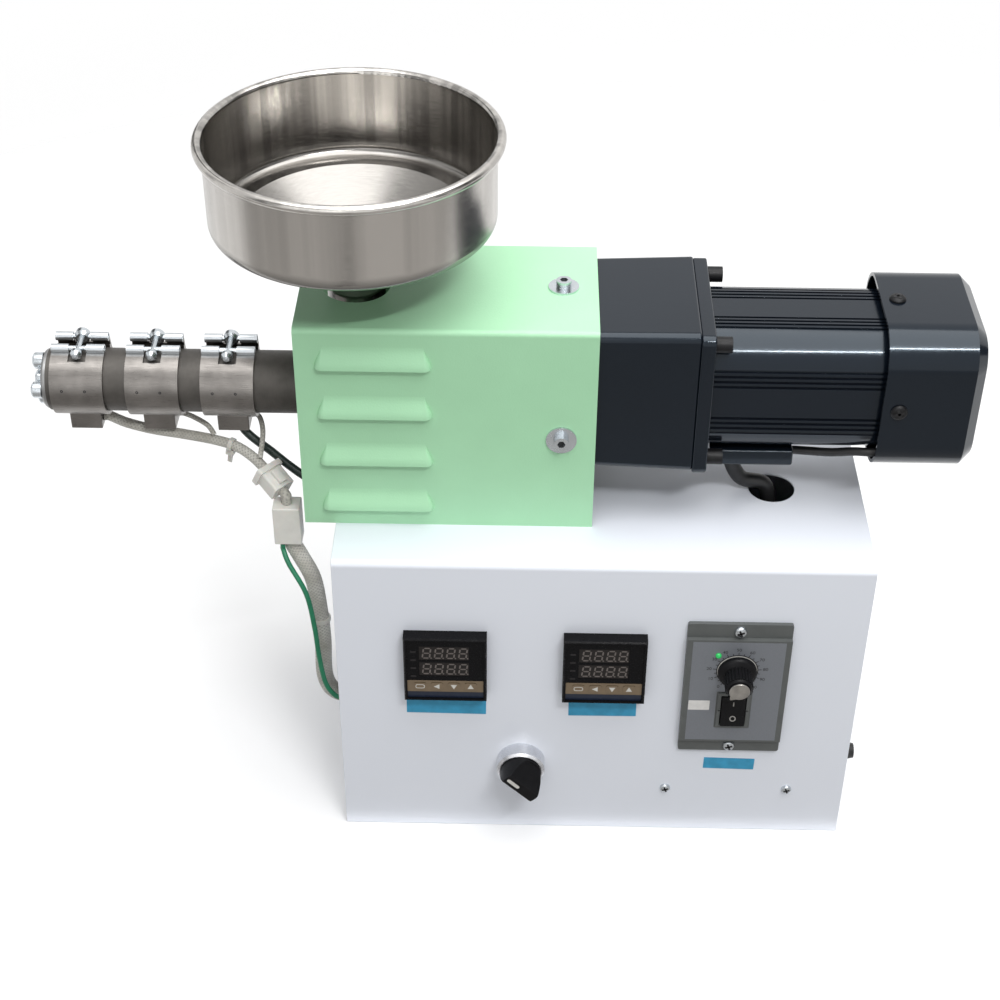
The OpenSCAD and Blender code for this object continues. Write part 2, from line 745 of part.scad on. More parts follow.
module harness_grommet() {
    color([0.1, 0.1, 0.1]) translate([-cabinet_w / 2 + cabinet_t / 2, harness_hole[0], harness_hole[1]])
        rotate([0, 90, 0]) rotate_extrude()
            snap_ring(harness_d / 2 + grommet_gap, grommet_groove_d / 2, grommet_lip);
}

// Strain relief bush of the mains inlet, closed by a shallow recess
module cord_gland() {
    color([0.08, 0.08, 0.08]) translate([cabinet_w / 2 - cabinet_t / 2, gland_at[0], gland_at[1]])
        rotate([0, 90, 0]) difference() {
            rotate_extrude() {
                snap_ring(0, gland_groove_d / 2, gland_lip);
                polygon([[0, 0], [gland_body_d / 2, 0], [gland_body_d / 2, gland_shoulder],
                    [gland_nose_d / 2, gland_l], [0, gland_l]]);
            }
            translate([0, 0, gland_l - gland_recess]) cylinder(d = gland_recess_d, h = gland_recess + over);
        }
}

// Pieces under the cover

module base_plate() {
    color("dimgray") translate([flange_x, -base_plate_w / 2, cabinet_h])
        cube([upright_x + upright_t - flange_x, base_plate_w, base_plate_t]);
}

// Block that holds the barrel's rear end, with the feed throat bored down into it
module feed_block() {
    color("gray") difference() {
        translate([block_x, -block_w / 2, base_top_z])
            cube([block_l, block_w, axis_z + block_top - base_top_z]);
        on_axis(block_x - over) cylinder(d = barrel_d + 2 * fit, h = block_l + 2 * over);
        translate([hopper_x, 0, axis_z]) cylinder(d = neck_d + 2 * fit, h = block_top + over);
    }
}

module bearing_housing() {
    color("dimgray") difference() {
        union() {
            on_axis(housing_x) cylinder(d = housing_d, h = housing_l);
            translate([housing_x, -housing_d / 2, base_top_z])
                cube([housing_l, housing_d, axis_z - base_top_z]);
        }
        on_axis(housing_x - over) cylinder(d = shaft_d + 2 * fit, h = housing_l + 2 * over);
    }
}

// Coupling sleeve on the gearbox's shaft, which runs through the bearing to the screw
module drive_coupling() {
    x = housing_x + housing_l + 1;
    color("silver") {
        on_axis(x) cylinder(d = coupling_d, h = upright_x - x - 1);
        on_axis(housing_x) cylinder(d = shaft_d, h = gearbox_x - housing_x);
    }
}

// Upright plate that the gearbox's face is bolted to
module gearbox_upright() {
    color("dimgray") difference() {
        along_x(upright_x, upright_t) translate([0, base_top_z])
            arch(gearbox_w - gearbox_taper,
                gearbox_top - gearbox_taper / 2 - upright_drop - base_top_z, frame_r);
        on_axis(upright_x - over) cylinder(d = coupling_d + 4, h = upright_t + 2 * over);
    }
}

// Barrel, screw and die

module barrel() {
    color([0.30, 0.28, 0.27]) difference() {
        union() {
            on_axis(barrel_x) cylinder(d = barrel_d, h = housing_x - barrel_x);
            on_axis(flange_x) cylinder(d = barrel_flange_d, h = barrel_flange_t);
        }
        on_axis(barrel_x - over) cylinder(d = barrel_bore, h = housing_x - barrel_x + 2 * over);
        translate([hopper_x, 0, axis_z]) cylinder(d = feed_hole_d, h = barrel_d);
    }
}

// Screw with one helical flight: its round section with a lobe for the flight, turned as it runs along
module extruder_screw() {
    turn_steps = 14;
    root_r = screw_root_d / 2;
    tip_r = barrel_bore / 2 - screw_gap;
    lobe = [[-34, root_r], [-16, tip_r], [16, tip_r], [34, root_r]];
    back = [for (a = [75:35:285]) [a, root_r]];
    n = floor(turn_steps * (housing_x - barrel_x - screw_tip_gap) / screw_pitch);
    section = concat(lobe, back);
    points = [for (i = [0:n], c = section) let (a = c[0] + 360 * i / turn_steps)
        [c[1] * cos(a), c[1] * sin(a), -screw_pitch * (n - i) / turn_steps]];
    color("silver") on_axis(housing_x) polyhedron(points, skin(n + 1, len(section)));
}

module die_plate() {
    color("gray") on_axis(die_x) difference() {
        rotate_extrude() polygon([[0, die_t], [die_d / 2, die_t], [die_d / 2, die_edge],
            [die_d / 2 - die_edge, 0], [0, 0]]);
        translate([0, 0, -over]) cylinder(d = nozzle_d - 2 * nozzle_step, h = die_t + 2 * over);
    }
}

module die_bolts() {
    color("silver") on_axis(die_x) for (a = [0:90:270]) rotate(a) translate([die_bolt_pcd / 2, 0, 0])
        rotate([180, 0, 0]) rotate_extrude() polygon([[0, 0], [die_bolt_d / 2, 0],
            [die_bolt_d / 2, die_bolt_h - die_edge], [die_bolt_d / 2 - die_edge, die_bolt_h],
            [0, die_bolt_h]]);
}

// Nozzle with a shoulder on the die plate and its orifice
module nozzle() {
    r = nozzle_d / 2;
    color("silver") on_axis(die_x) difference() {
        rotate([180, 0, 0]) rotate_extrude() polygon([[0, fit - die_t], [r - nozzle_step - fit, fit - die_t],
            [r - nozzle_step - fit, 0], [r, 0], [r, nozzle_l - nozzle_step], [r - nozzle_step, nozzle_l],
            [0, nozzle_l]]);
        translate([0, 0, -nozzle_l - over])
            cylinder(d = orifice_d, h = nozzle_l + die_t + 2 * over, $fn = 24);
    }
}

// Heater bands, drawn across the machine about the barrel's axis

module across(x, more = 0) {
    translate([x, 0, axis_z]) rotate([90, 0, 90]) linear_extrude(band_w + more, center = true) children();
}

// Round of the band with an opening at the top
module band_strip() {
    difference() {
        circle(d = band_d);
        translate([front_roll[0], 0]) square([rear_roll[0] - front_roll[0], band_d]);
    }
}

// Tail that rises behind the opening to the rear roll
module band_tail() {
    polygon([rear_roll + [band_roll_r - tail_root[0], tail_root[1]],
        rear_roll + [band_roll_r - tail_lip[0], tail_lip[1]], rear_tail, rear_tail - tail_t]);
}

module heater_band(i) {
    slot_low = band_d / 2 - slot_depth;
    color([0.62, 0.60, 0.57]) difference() {
        union() {
            across(bands[i]) band_strip();
            across(bands[i]) band_tail();
            for (roll = [front_roll, rear_roll]) across(bands[i]) translate(roll) circle(band_roll_r);
        }
        across(bands[i], over) circle(d = barrel_d + 2 * fit);
        for (roll = [front_roll, rear_roll]) across(bands[i], over)
            translate(roll) circle(clamp_bar_d / 2 + fit);
        translate([bands[i] - band_slot_w / 2, slot_front, axis_z + slot_low])
            cube([band_slot_w, rear_tail[0] - slot_front, band_d]);
    }
}

module heater_band_1() heater_band(0);
module heater_band_2() heater_band(1);
module heater_band_3() heater_band(2);

// Two cross bars in the rolls, pulled together by a screw with a round head; the rear bar has an eye for it
module band_clamp(i) {
    color([0.75, 0.77, 0.78]) translate([bands[i], 0, axis_z]) {
        for (roll = [front_roll, rear_roll]) translate([0, roll[0], roll[1]]) rotate([0, 90, 0])
            cylinder(d = clamp_bar_d, h = band_w - 2 * clamp_bar_inset, center = true, $fn = 24);
        translate([0, clamp_head_y, front_roll[1]]) rotate([-90, 0, 0]) {
            cylinder(d = clamp_screw_d, h = clamp_l, $fn = 24);
            rotate_extrude($fn = 24) polygon([[0, -clamp_head_crown],
                [clamp_head_flat[0], -clamp_head_flat[1]], [clamp_head_d / 2, 0],
                [clamp_head_d / 2, clamp_head_side], clamp_head_back, [0, clamp_head_back[1]]]);
            translate([0, 0, rear_roll[0] - clamp_head_y - clamp_eye_inset]) rotate_extrude($fn = 24)
                polygon([[0, 0], [clamp_eye_r - clamp_eye_edge, 0], [clamp_eye_r, clamp_eye_edge],
                    [clamp_eye_r, clamp_eye_l - clamp_eye_edge], [clamp_eye_r - clamp_eye_edge, clamp_eye_l],
                    [0, clamp_eye_l]]);
        }
    }
}

module band_clamp_1() band_clamp(0);
module band_clamp_2() band_clamp(1);
module band_clamp_3() band_clamp(2);

// Folded tin box over a band's terminals, under the barrel
module heater_terminal(i) {
    color([0.55, 0.53, 0.50]) translate([bands[i] - terminal_box[0] / 2, -terminal_box[1] / 2,
            axis_z - band_d / 2 - terminal_box[2] + 1]) difference() {
        cube(terminal_box);
        translate([terminal_box[0] / 2, terminal_box[1] / 2, terminal_box[2] - 1 + band_d / 2])
            rotate([0, 90, 0]) cylinder(d = band_d + 2 * fit, h = band_w, center = true);
    }
}

module terminal_box_1() heater_terminal(0);
module terminal_box_2() heater_terminal(1);
module terminal_box_3() heater_terminal(2);

// Cover and hopper

// Outline of a louvre, out of the sheet and up from its mouth
module louvre_outline(out, up) {
    polygon(concat([[-cover_t / 2, 0]], swell(out, up), [[-cover_t / 2, up]]));
}

// Points of a smooth swell, from its crest at the mouth up to where it meets the sheet
function swell(out, up) = [for (a = [0:louvre_step:180]) [out * (1 + cos(a)) / 2, up * a / 180]];

// Strip of an outline with a turned end each side and round upper corners, standing out of the sheet
module louvre_run(out, up, l) {
    intersection() {
        union() {
            rotate([90, 0, 90]) translate([0, 0, out]) linear_extrude(l - 2 * out)
                mirror([1, 0]) louvre_outline(out, up);
            for (x = [out, l - out]) translate([x, 0, 0]) rotate_extrude($fn = 24) intersection() {
                louvre_outline(out, up);
                square([2 * out, up]);
            }
        }
        translate([l / 2, out + over, 0]) rotate([90, 0, 0]) linear_extrude(2 * (out + over))
            arch(l, up, louvre_corner_r);
    }
}

module cover() {
    color([0.62, 0.84, 0.68]) difference() {
        union() {
            along_x(cover_x, cover_l) translate([0, cabinet_h]) difference() {
                arch(cover_w, cover_h, cover_bend_r);
                translate([0, -over])
                    arch(cover_w - 2 * cover_t, cover_h - cover_t + over, cover_bend_r - cover_t);
            }
            louvres() louvre_run(louvre_proud, louvre_h, louvre_l);
        }
        translate([hopper_x, 0, cover_top_z])
            cylinder(d = neck_d + 2 * neck_gap, h = 4 * cover_t, center = true);
        for (a = [0, 1]) cover_screw_place(a) cylinder(d = cover_hole_d, h = 4 * cover_t, center = true);
        louvres() louvre_throat();
    }
}

// Repeats a louvre down the front and back of the cover
module louvres() {
    for (side = [0, 1], i = [0:louvre_count - 1]) mirror([0, side, 0])
        translate([cover_x + louvre_inset, -cover_w / 2, cabinet_h + louvre_first + i * louvre_pitch])
            children();
}

// Air way of a louvre, from its mouth through the sheet
module louvre_throat() {
    out = louvre_proud - louvre_t;
    rotate([90, 0, 90]) translate([0, 0, louvre_proud]) linear_extrude(louvre_l - 2 * louvre_proud)
        mirror([1, 0]) polygon(concat([[-cover_t - over, louvre_t], [0, louvre_t], [0, -over], [out, -over]],
            swell(out, louvre_throat_h), [[-cover_t - over, louvre_throat_h]]));
}

// Stands a piece at the cover's top screw (0) or side screw (1), with Z out of the sheet
module cover_screw_place(side) {
    x = cover_end_x - cover_screw_inset;
    if (side == 0) translate([x, 0, cover_top_z]) children();
    else translate([x, -cover_w / 2, cabinet_h + cover_screw_rise]) rotate([90, 0, 0]) children();
}

washer_t = 1.2;
cover_screw_head_d = 8.5;
cover_screw_head_h = 5;
cover_screw_socket = 4.6;

// Socket screws with wide washers
module cover_screws() {
    color("silver") for (side = [0, 1]) cover_screw_place(side) {
        cylinder(d = washer_d, h = washer_t);
        difference() {
            cylinder(d = cover_screw_head_d, h = cover_screw_head_h);
            translate([0, 0, cover_screw_head_h / 2])
                cylinder(d = cover_screw_socket, h = cover_screw_head_h, $fn = 6);
        }
    }
}

// Bowl with a rolled rim, a folded lower edge and a cone down to the neck
module hopper_bowl() {
    cone_r = hopper_cone_d / 2;
    neck_r = neck_d / 2 + fit;
    t = hopper_t;
    ledge_z = floor_z + t;
    color("lightgray") translate([hopper_x, 0, 0]) rotate_extrude($fn = 96) {
        translate([wall_r + hopper_bead_d / 2 - t, rim_z]) circle(d = hopper_bead_d);
        translate([wall_r - t, floor_z + hopper_fold_r]) square([t, hopper_wall_h - hopper_fold_r]);
        translate([cone_r, floor_z]) square([wall_r - hopper_fold_r - cone_r, t]);
        translate([wall_r - hopper_fold_r, floor_z + hopper_fold_r]) difference() {
            circle(hopper_fold_r);
            circle(hopper_fold_r - t);
            translate([-2 * hopper_fold_r, -hopper_fold_r]) square(2 * hopper_fold_r);
            translate([-hopper_fold_r, 0]) square(2 * hopper_fold_r);
        }
        polygon([[cone_r, floor_z], [cone_r, ledge_z], [neck_r, neck_z + t], [neck_r, neck_z]]);
    }
}

// Tube from the cone down through the cover to the barrel
module hopper_neck() {
    foot_z = axis_z + barrel_d / 2 + fit;
    color("lightgray") translate([hopper_x, 0, foot_z]) difference() {
        cylinder(d = neck_d, h = neck_z + hopper_t - foot_z);
        translate([0, 0, -over]) cylinder(d = throat_d, h = neck_z + hopper_t - foot_z + 2 * over);
    }
}

// Drive

// Tapered case: as wide as the cover allows up to the cover's end, then out to the flange
module gearbox() {
    slice = 1;
    mid_x = cover_end_x + gearbox_gap;
    mid_taper = gearbox_taper * (motor_flange_x - mid_x) / gearbox_l;
    color([0.24, 0.26, 0.30]) {
        hull() {
            along_x(gearbox_x, slice) gearbox_section(gearbox_w, gearbox_taper);
            along_x(mid_x, slice) gearbox_section(gearbox_w, mid_taper);
        }
        hull() {
            along_x(mid_x, slice) gearbox_section(gearbox_w, mid_taper);
            along_x(motor_flange_x - slice, slice) gearbox_section(gearbox_flare_w, 0);
        }
    }
}

module gearbox_section(w, taper) {
    translate([0, (gearbox_top + gearbox_foot) / 2])
        round_rect(w - taper, gearbox_top - gearbox_foot - taper, frame_r, $fn = 32);
}

module motor_flange() {
    color([0.22, 0.24, 0.28]) translate([0, 0, motor_z])
        along_x(motor_flange_x, flange_t) round_rect(frame_size, frame_size, frame_r);
}

module flange_bolts() {
    color([0.1, 0.1, 0.1]) for (y = [-1, 1], z = [-1, 1])
        translate([motor_x, y * bolt_place, motor_z + z * bolt_place]) rotate([0, 90, 0]) difference() {
            cylinder(d = bolt_head_d, h = bolt_head_h);
            translate([0, 0, bolt_head_h / 2]) cylinder(d = bolt_socket, h = bolt_head_h, $fn = 6);
        }
}

// Body with smooth corners, and rib groups either side of each smooth middle band
module motor_body() {
    band = 24;
    lug_w = 12;
    lug_inset = 2;
    groove_depth = 1.2;
    lug_rise = (cap_size - motor_size) / 2 - cap_t - fit;
    color([0.23, 0.25, 0.29]) translate([0, 0, motor_z]) {
        along_x(motor_x, motor_end_x - motor_x) difference() {
            round_rect(motor_size, motor_size, motor_corner_r);
            for (a = [0:90:270], side = [-1, 1], i = [0:rib_count - 1]) rotate(a)
                translate([side * (band / 2 - rib_groove + i * rib_pitch), motor_size / 2])
                    square([rib_groove, 2 * groove_depth], center = true);
        }
        // Lugs that the fan cap is screwed to
        along_x(cap_x + lug_inset, cap_overlap - 2 * lug_inset) for (a = [0:90:270]) rotate(a)
            translate([-lug_w / 2, motor_size / 2 - 1]) square([lug_w, lug_rise + 1]);
    }
}

module motor_terminal_box() {
    color([0.2, 0.22, 0.26]) translate([motor_box_x, motor_box_y, motor_box_z]) cube(motor_box);
}

// Outline of the fan cap from its open end to its domed rear, drawn in by a wall
module cap_form(wall) {
    size = cap_size - 2 * wall;
    r = cap_corner_r - wall;
    hull() {
        along_x(cap_x, cap_l - cap_dome) round_rect(size, size, r, $fn = 32);
        along_x(cap_x, cap_l - wall)
            round_rect(size - 2 * cap_dome, size - 2 * cap_dome, r - cap_dome, $fn = 32);
    }
}

// Cap over the fan: thin wall, open towards the motor, a round field of vent slots in its rear
module fan_cap() {
    inner = cap_size - 2 * cap_t;
    color([0.23, 0.25, 0.29]) translate([0, 0, motor_z]) difference() {
        cap_form(0);
        cap_form(cap_t);
        along_x(cap_x - over, 2 * over) round_rect(inner, inner, cap_corner_r - cap_t, $fn = 32);
        along_x(cap_x + cap_l - cap_dome, 2 * cap_dome) for (i = [0:vent_count - 1]) let (
                rise = (i - (vent_count - 1) / 2) * vent_pitch,
                reach = sqrt(pow(vent_field_d / 2, 2) - pow(rise, 2)) - vent_w / 2)
            translate([0, rise]) {
                square([2 * reach, vent_w], center = true);
                for (side = [-1, 1]) translate([side * reach, 0]) circle(d = vent_w, $fn = 16);
            }
    }
}

// Fan on the motor's rear shaft: hub and slanted blades
module cooling_fan() {
    hub_d = 30;
    hub_l = 12;
    hub_gap = 6;
    blade_t = 1.6;
    blade_w = 13;
    slant = 38;
    color([0.12, 0.13, 0.15]) translate([motor_end_x, 0, motor_z]) rotate([0, 90, 0]) {
        translate([0, 0, lead_gap]) cylinder(d = shaft_d, h = hub_gap + hub_l + over);
        translate([0, 0, hub_gap]) cylinder(d = hub_d, h = hub_l);
        for (i = [0:blade_count - 1]) rotate(360 * i / blade_count)
            translate([hub_d / 2 - 2, 0, hub_gap + hub_l / 2]) rotate([slant, 0, 0])
                translate([0, -blade_t / 2, -blade_w / 2])
                    cube([(fan_d - hub_d) / 2 + 2, blade_t, blade_w]);
    }
}

// Leads

module motor_lead() color([0.05, 0.05, 0.05]) tube(motor_lead_route, motor_lead_d);
module fan_lead() color([0.05, 0.05, 0.05]) tube(fan_lead_route, fan_lead_d);

module heater_leads() {
    color([0.85, 0.84, 0.78]) {
        tube(main_lead_route, heater_lead_d);
        for (route = short_lead_routes) tube(route, short_lead_d, sides = 8);
    }
}

module connector_block() {
    color("white") translate(connector_at) cube(connector, center = true);
}

module heater_harness() color([0.8, 0.8, 0.76]) tube(harness_route, harness_d);
module earth_wire() color([0.1, 0.5, 0.3]) tube(earth_route, earth_d, sides = 8);

cabinet_shell();
cabinet_left_side();
cabinet_right_side();
cabinet_base();
left_temperature_controller();
right_temperature_controller();
speed_controller();
speed_knob();
power_rocker();
selector_ring();
selector_knob();
cord_gland();
harness_grommet();
base_plate();
feed_block();
bearing_housing();
drive_coupling();
gearbox_upright();
barrel();
extruder_screw();
die_plate();
die_bolts();
nozzle();
heater_band_1();
heater_band_2();
heater_band_3();
band_clamp_1();
band_clamp_2();
band_clamp_3();
terminal_box_1();
terminal_box_2();
terminal_box_3();
cover();
cover_screws();
hopper_bowl();
hopper_neck();
gearbox();
motor_flange();
flange_bolts();
motor_body();
motor_terminal_box();
fan_cap();
cooling_fan();
motor_lead();
fan_lead();
heater_leads();
connector_block();
heater_harness();
earth_wire();
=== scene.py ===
"""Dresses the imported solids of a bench-top single screw extruder and sets them in a plain studio."""

import json
import math

import bmesh
import bpy
from bpy.props import FloatProperty, FloatVectorProperty, IntProperty, PointerProperty
from mathutils import Matrix, Vector


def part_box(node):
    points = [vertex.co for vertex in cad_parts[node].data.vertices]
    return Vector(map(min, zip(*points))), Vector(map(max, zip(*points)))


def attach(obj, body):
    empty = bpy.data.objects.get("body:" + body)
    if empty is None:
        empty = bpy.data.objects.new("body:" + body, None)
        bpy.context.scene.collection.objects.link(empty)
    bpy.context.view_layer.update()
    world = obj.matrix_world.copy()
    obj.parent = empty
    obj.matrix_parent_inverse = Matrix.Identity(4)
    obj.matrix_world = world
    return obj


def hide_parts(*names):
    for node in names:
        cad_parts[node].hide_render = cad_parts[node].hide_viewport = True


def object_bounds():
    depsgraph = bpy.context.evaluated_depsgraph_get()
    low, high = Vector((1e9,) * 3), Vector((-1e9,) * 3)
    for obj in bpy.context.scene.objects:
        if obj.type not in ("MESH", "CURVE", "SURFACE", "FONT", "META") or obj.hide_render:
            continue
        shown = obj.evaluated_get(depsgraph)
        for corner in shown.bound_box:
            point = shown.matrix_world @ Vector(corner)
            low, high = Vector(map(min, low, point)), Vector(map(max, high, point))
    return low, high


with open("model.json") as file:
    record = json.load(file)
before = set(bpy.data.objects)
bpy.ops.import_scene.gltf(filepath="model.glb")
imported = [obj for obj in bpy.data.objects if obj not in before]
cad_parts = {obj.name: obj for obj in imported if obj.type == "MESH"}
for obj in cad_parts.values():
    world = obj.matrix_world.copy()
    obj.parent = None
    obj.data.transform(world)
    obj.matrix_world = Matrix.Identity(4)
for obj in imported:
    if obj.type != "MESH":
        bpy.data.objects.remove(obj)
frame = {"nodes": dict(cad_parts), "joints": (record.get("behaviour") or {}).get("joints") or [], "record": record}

bl_info = {
    "name": "Bench Extruder Dressing",
    "version": (1, 0, 0),
    "blender": (4, 5, 0),
    "location": "View3D > Sidebar > Extruder",
    "description": "Finishes, instruments, wiring and studio for a bench-top screw extruder",
    "category": "Object",
}

MM = 0.001
CAD_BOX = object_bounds()
SOLIDS = frame["nodes"]
SLOT_OF = {row["node"]: row["material_slot"] for row in frame["record"]["subparts"]}
JOINT = {row["name"]: row for row in frame["joints"]}
MACHINE = "machine"

PANEL_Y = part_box("cabinet_shell")[0].y
BAND_NODES = ("heater_band_1", "heater_band_2", "heater_band_3")
CONTROLLERS = ("left_temperature_controller", "right_temperature_controller")

WELD_GAP = 0.002 * MM
FLAT_BEND = math.radians(0.5)  # facets that bend less are joined
SHARP_BEND = math.radians(32)  # edges of solids that bend more are rounded
COVER_BEND = math.radians(50)  # edges of the cover that bend more stay sharp
PIECE_BEND = math.radians(34)  # edges of added pieces that bend more stay sharp
LEAD_GAP = 0.4 * MM  # between a lead's end and the piece that it leaves
DIAL_START = 232  # degrees from the right to the dial's zero
FIGURE_SHARE = 0.7  # height of a figure as a share of its font size


def middle(node):
    """Middle of a solid's box."""
    low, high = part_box(node)
    return (low + high) / 2


def given(thing, **values):
    """A thing with values given to its properties."""
    for name, value in values.items():
        setattr(thing, name, value)
    return thing


# Settings


def length(name, description, default):
    """A length that a user may change, in metres."""
    return FloatProperty(name=name, description=description, default=default, min=0, subtype="DISTANCE", unit="LENGTH")


def colour(name, description, default):
    """A colour that a user may change."""
    return FloatVectorProperty(name=name, description=description, default=default, min=0, max=1, size=3,
                               subtype="COLOR")


def angle(name, description, default):
    """An angle that a user may change, given in degrees."""
    return FloatProperty(name=name, description=description, default=math.radians(default), subtype="ANGLE",
                         unit="ROTATION")


class FinishColours(bpy.types.PropertyGroup):
    """Colours of the coats, metals and plastics."""

    white_coat: colour("White coat", "Powder coat of the cabinet", (0.81, 0.845, 0.915))
    green_coat: colour("Green coat", "Powder coat of the drive cover", (0.40, 0.73, 0.455))
    slate_enamel: colour("Slate enamel", "Enamel of the gear motor", (0.0055, 0.0085, 0.014))
    polished_steel: colour("Polished steel", "Sheet of the hopper", (0.63, 0.605, 0.57))
    band_steel: colour("Band steel", "Sheath of the heater bands", (0.255, 0.24, 0.225))
    barrel_steel: colour("Barrel steel", "Turned barrel", (0.105, 0.097, 0.088))
    zinc_plate: colour("Zinc plate", "Screws and clamps", (0.66, 0.70, 0.73))
    face_grey: colour("Face grey", "Printed face of the speed controller", (0.22, 0.235, 0.26))
    frame_olive: colour("Frame olive", "Moulded frame of the speed controller", (0.105, 0.113, 0.111))
    label_blue: colour("Label blue", "Paper labels on the panel", (0.045, 0.36, 0.60))
    strip_tan: colour("Strip tan", "Key strip of a temperature controller", (0.205, 0.150, 0.092))
    strip_navy: colour("Strip navy", "Lower strip of a temperature controller", (0.012, 0.020, 0.045))
    sleeve: colour("Sleeve", "Glass fibre sleeves of the heater leads", (0.62, 0.61, 0.56))
    earth_green: colour("Earth green", "Insulation of the earth wire", (0.012, 0.21, 0.10))


class DetailSizes(bpy.types.PropertyGroup):
    """Sizes of the small pieces that the solids leave out."""

    edge: length("Edge", "Rounding of the sharp edges", 0.5 * MM)
    label_t: length("Label thickness", "Thickness of labels, strips and prints", 0.12 * MM)
    panel_screw_d: length("Panel screw", "Head of a screw on the panel", 6.2 * MM)
    plate_screw_d: length("Plate screw", "Head of a screw on the speed controller", 7.2 * MM)
    digit_h: length("Digit height", "Height of a display digit", 7.4 * MM)
    number_h: length("Number height", "Height of a number on the dial", 2.16 * MM)
    dial_r: length("Dial radius", "Radius of the dial's numbers", 16 * MM)
    dial_steps: IntProperty(name="Dial steps", description="Numbered steps on the dial", default=10, min=2)


class StageSizes(bpy.types.PropertyGroup):
    """Camera, lamps and floor."""

    camera_place: FloatVectorProperty(name="Camera", description="Place of the camera", subtype="TRANSLATION",
                                      unit="LENGTH", default=(-0.044855, -0.887108, 0.872494))
    camera_down: angle("Down", "How far the camera looks down", 37.477)
    camera_aside: angle("Aside", "How far the camera looks to the left", 0.938)
    camera_roll: angle("Roll", "Turn of the camera about its view", 0.349)
    lens: FloatProperty(name="Lens", description="Focal length in millimetres on a 36 mm sensor", default=67.37)
    floor_size: length("Floor", "Side of the floor", 2.6)
    card_grey: colour("Grey card", "Card on the floor in front of the machine", (0.36, 0.35, 0.34))
    card_dark: colour("Dark cards", "Cards that stand round the machine", (0.03, 0.03, 0.03))
    top_power: FloatProperty(name="Top lamp", description="Power of the lamp overhead", default=57, unit="POWER")
    front_power: FloatProperty(name="Front lamp", description="Power of the front lamp", default=8, unit="POWER")
    strip_power: FloatProperty(name="Strip lamp", description="Power of the long lamp above the camera", default=11,
                               unit="POWER")
    sky: FloatProperty(name="Sky", description="Strength of the even light from all round", default=0.44)


class ExtruderSettings(bpy.types.PropertyGroup):
    """All settings of the dressing."""

    colours: PointerProperty(type=FinishColours)
    sizes: PointerProperty(type=DetailSizes)
    stage: PointerProperty(type=StageSizes)


def settings():
    """The scene's settings."""
    return bpy.context.scene.extruder


# Finishes


class Tree:
    """The nodes of a material or a world, and ways to add to them."""

    def __init__(self, holder):
        holder.use_nodes = True
        self.nodes = holder.node_tree.nodes
        self.link = holder.node_tree.links.new

    def put(self, socket, value):
        """Links a socket to an output, or sets it to a value that holds all over."""
        if isinstance(value, bpy.types.NodeSocket):
            self.link(value, socket)
        else:
            socket.default_value = value

    def feed(self, node, **sockets):
        """Puts values into a node's sockets and returns the node."""
        for name, value in sockets.items():
            self.put(node.inputs[name.replace("_", " ")], value)
        return node

    def node(self, kind, **sockets):
        """A new node with values in its sockets."""
        return self.feed(self.nodes.new("ShaderNode" + kind), **sockets)

    def spread(self, value, low, high, start=0.3, end=0.7):
        """Maps a value from start to end onto low to high."""
        node = self.node("MapRange", Value=value, From_Min=start, From_Max=end, To_Min=low, To_Max=high)
        return node.outputs["Result"]

    def blended(self, share, first, second):
        """Colour from first to second by a share."""
        mix = self.feed(given(self.node("Mix"), data_type="RGBA"), Factor=share)
        for socket, tone in zip((s for s in mix.inputs if s.type == "RGBA"), (first, second)):
            self.put(socket, tone)
        return next(s for s in mix.outputs if s.type == "RGBA")

    def reckoned(self, kind, values, **properties):
        """Outputs of a maths node for some values."""
        node = given(self.node(kind), **properties)
        for socket, value in zip(node.inputs, values):
            self.put(socket, value)
        return node.outputs

    def joined(self, operation, *values):
        """One value from 0 to 1 made of two."""
        return self.reckoned("Math", values, operation=operation, use_clamp=True)["Value"]

    def vector(self, operation, *values):
        """A vector made of one or two others, or their product, or a length."""
        outputs = self.reckoned("VectorMath", values, operation=operation)
        return outputs["Value" if operation in ("DOT_PRODUCT", "LENGTH") else "Vector"]


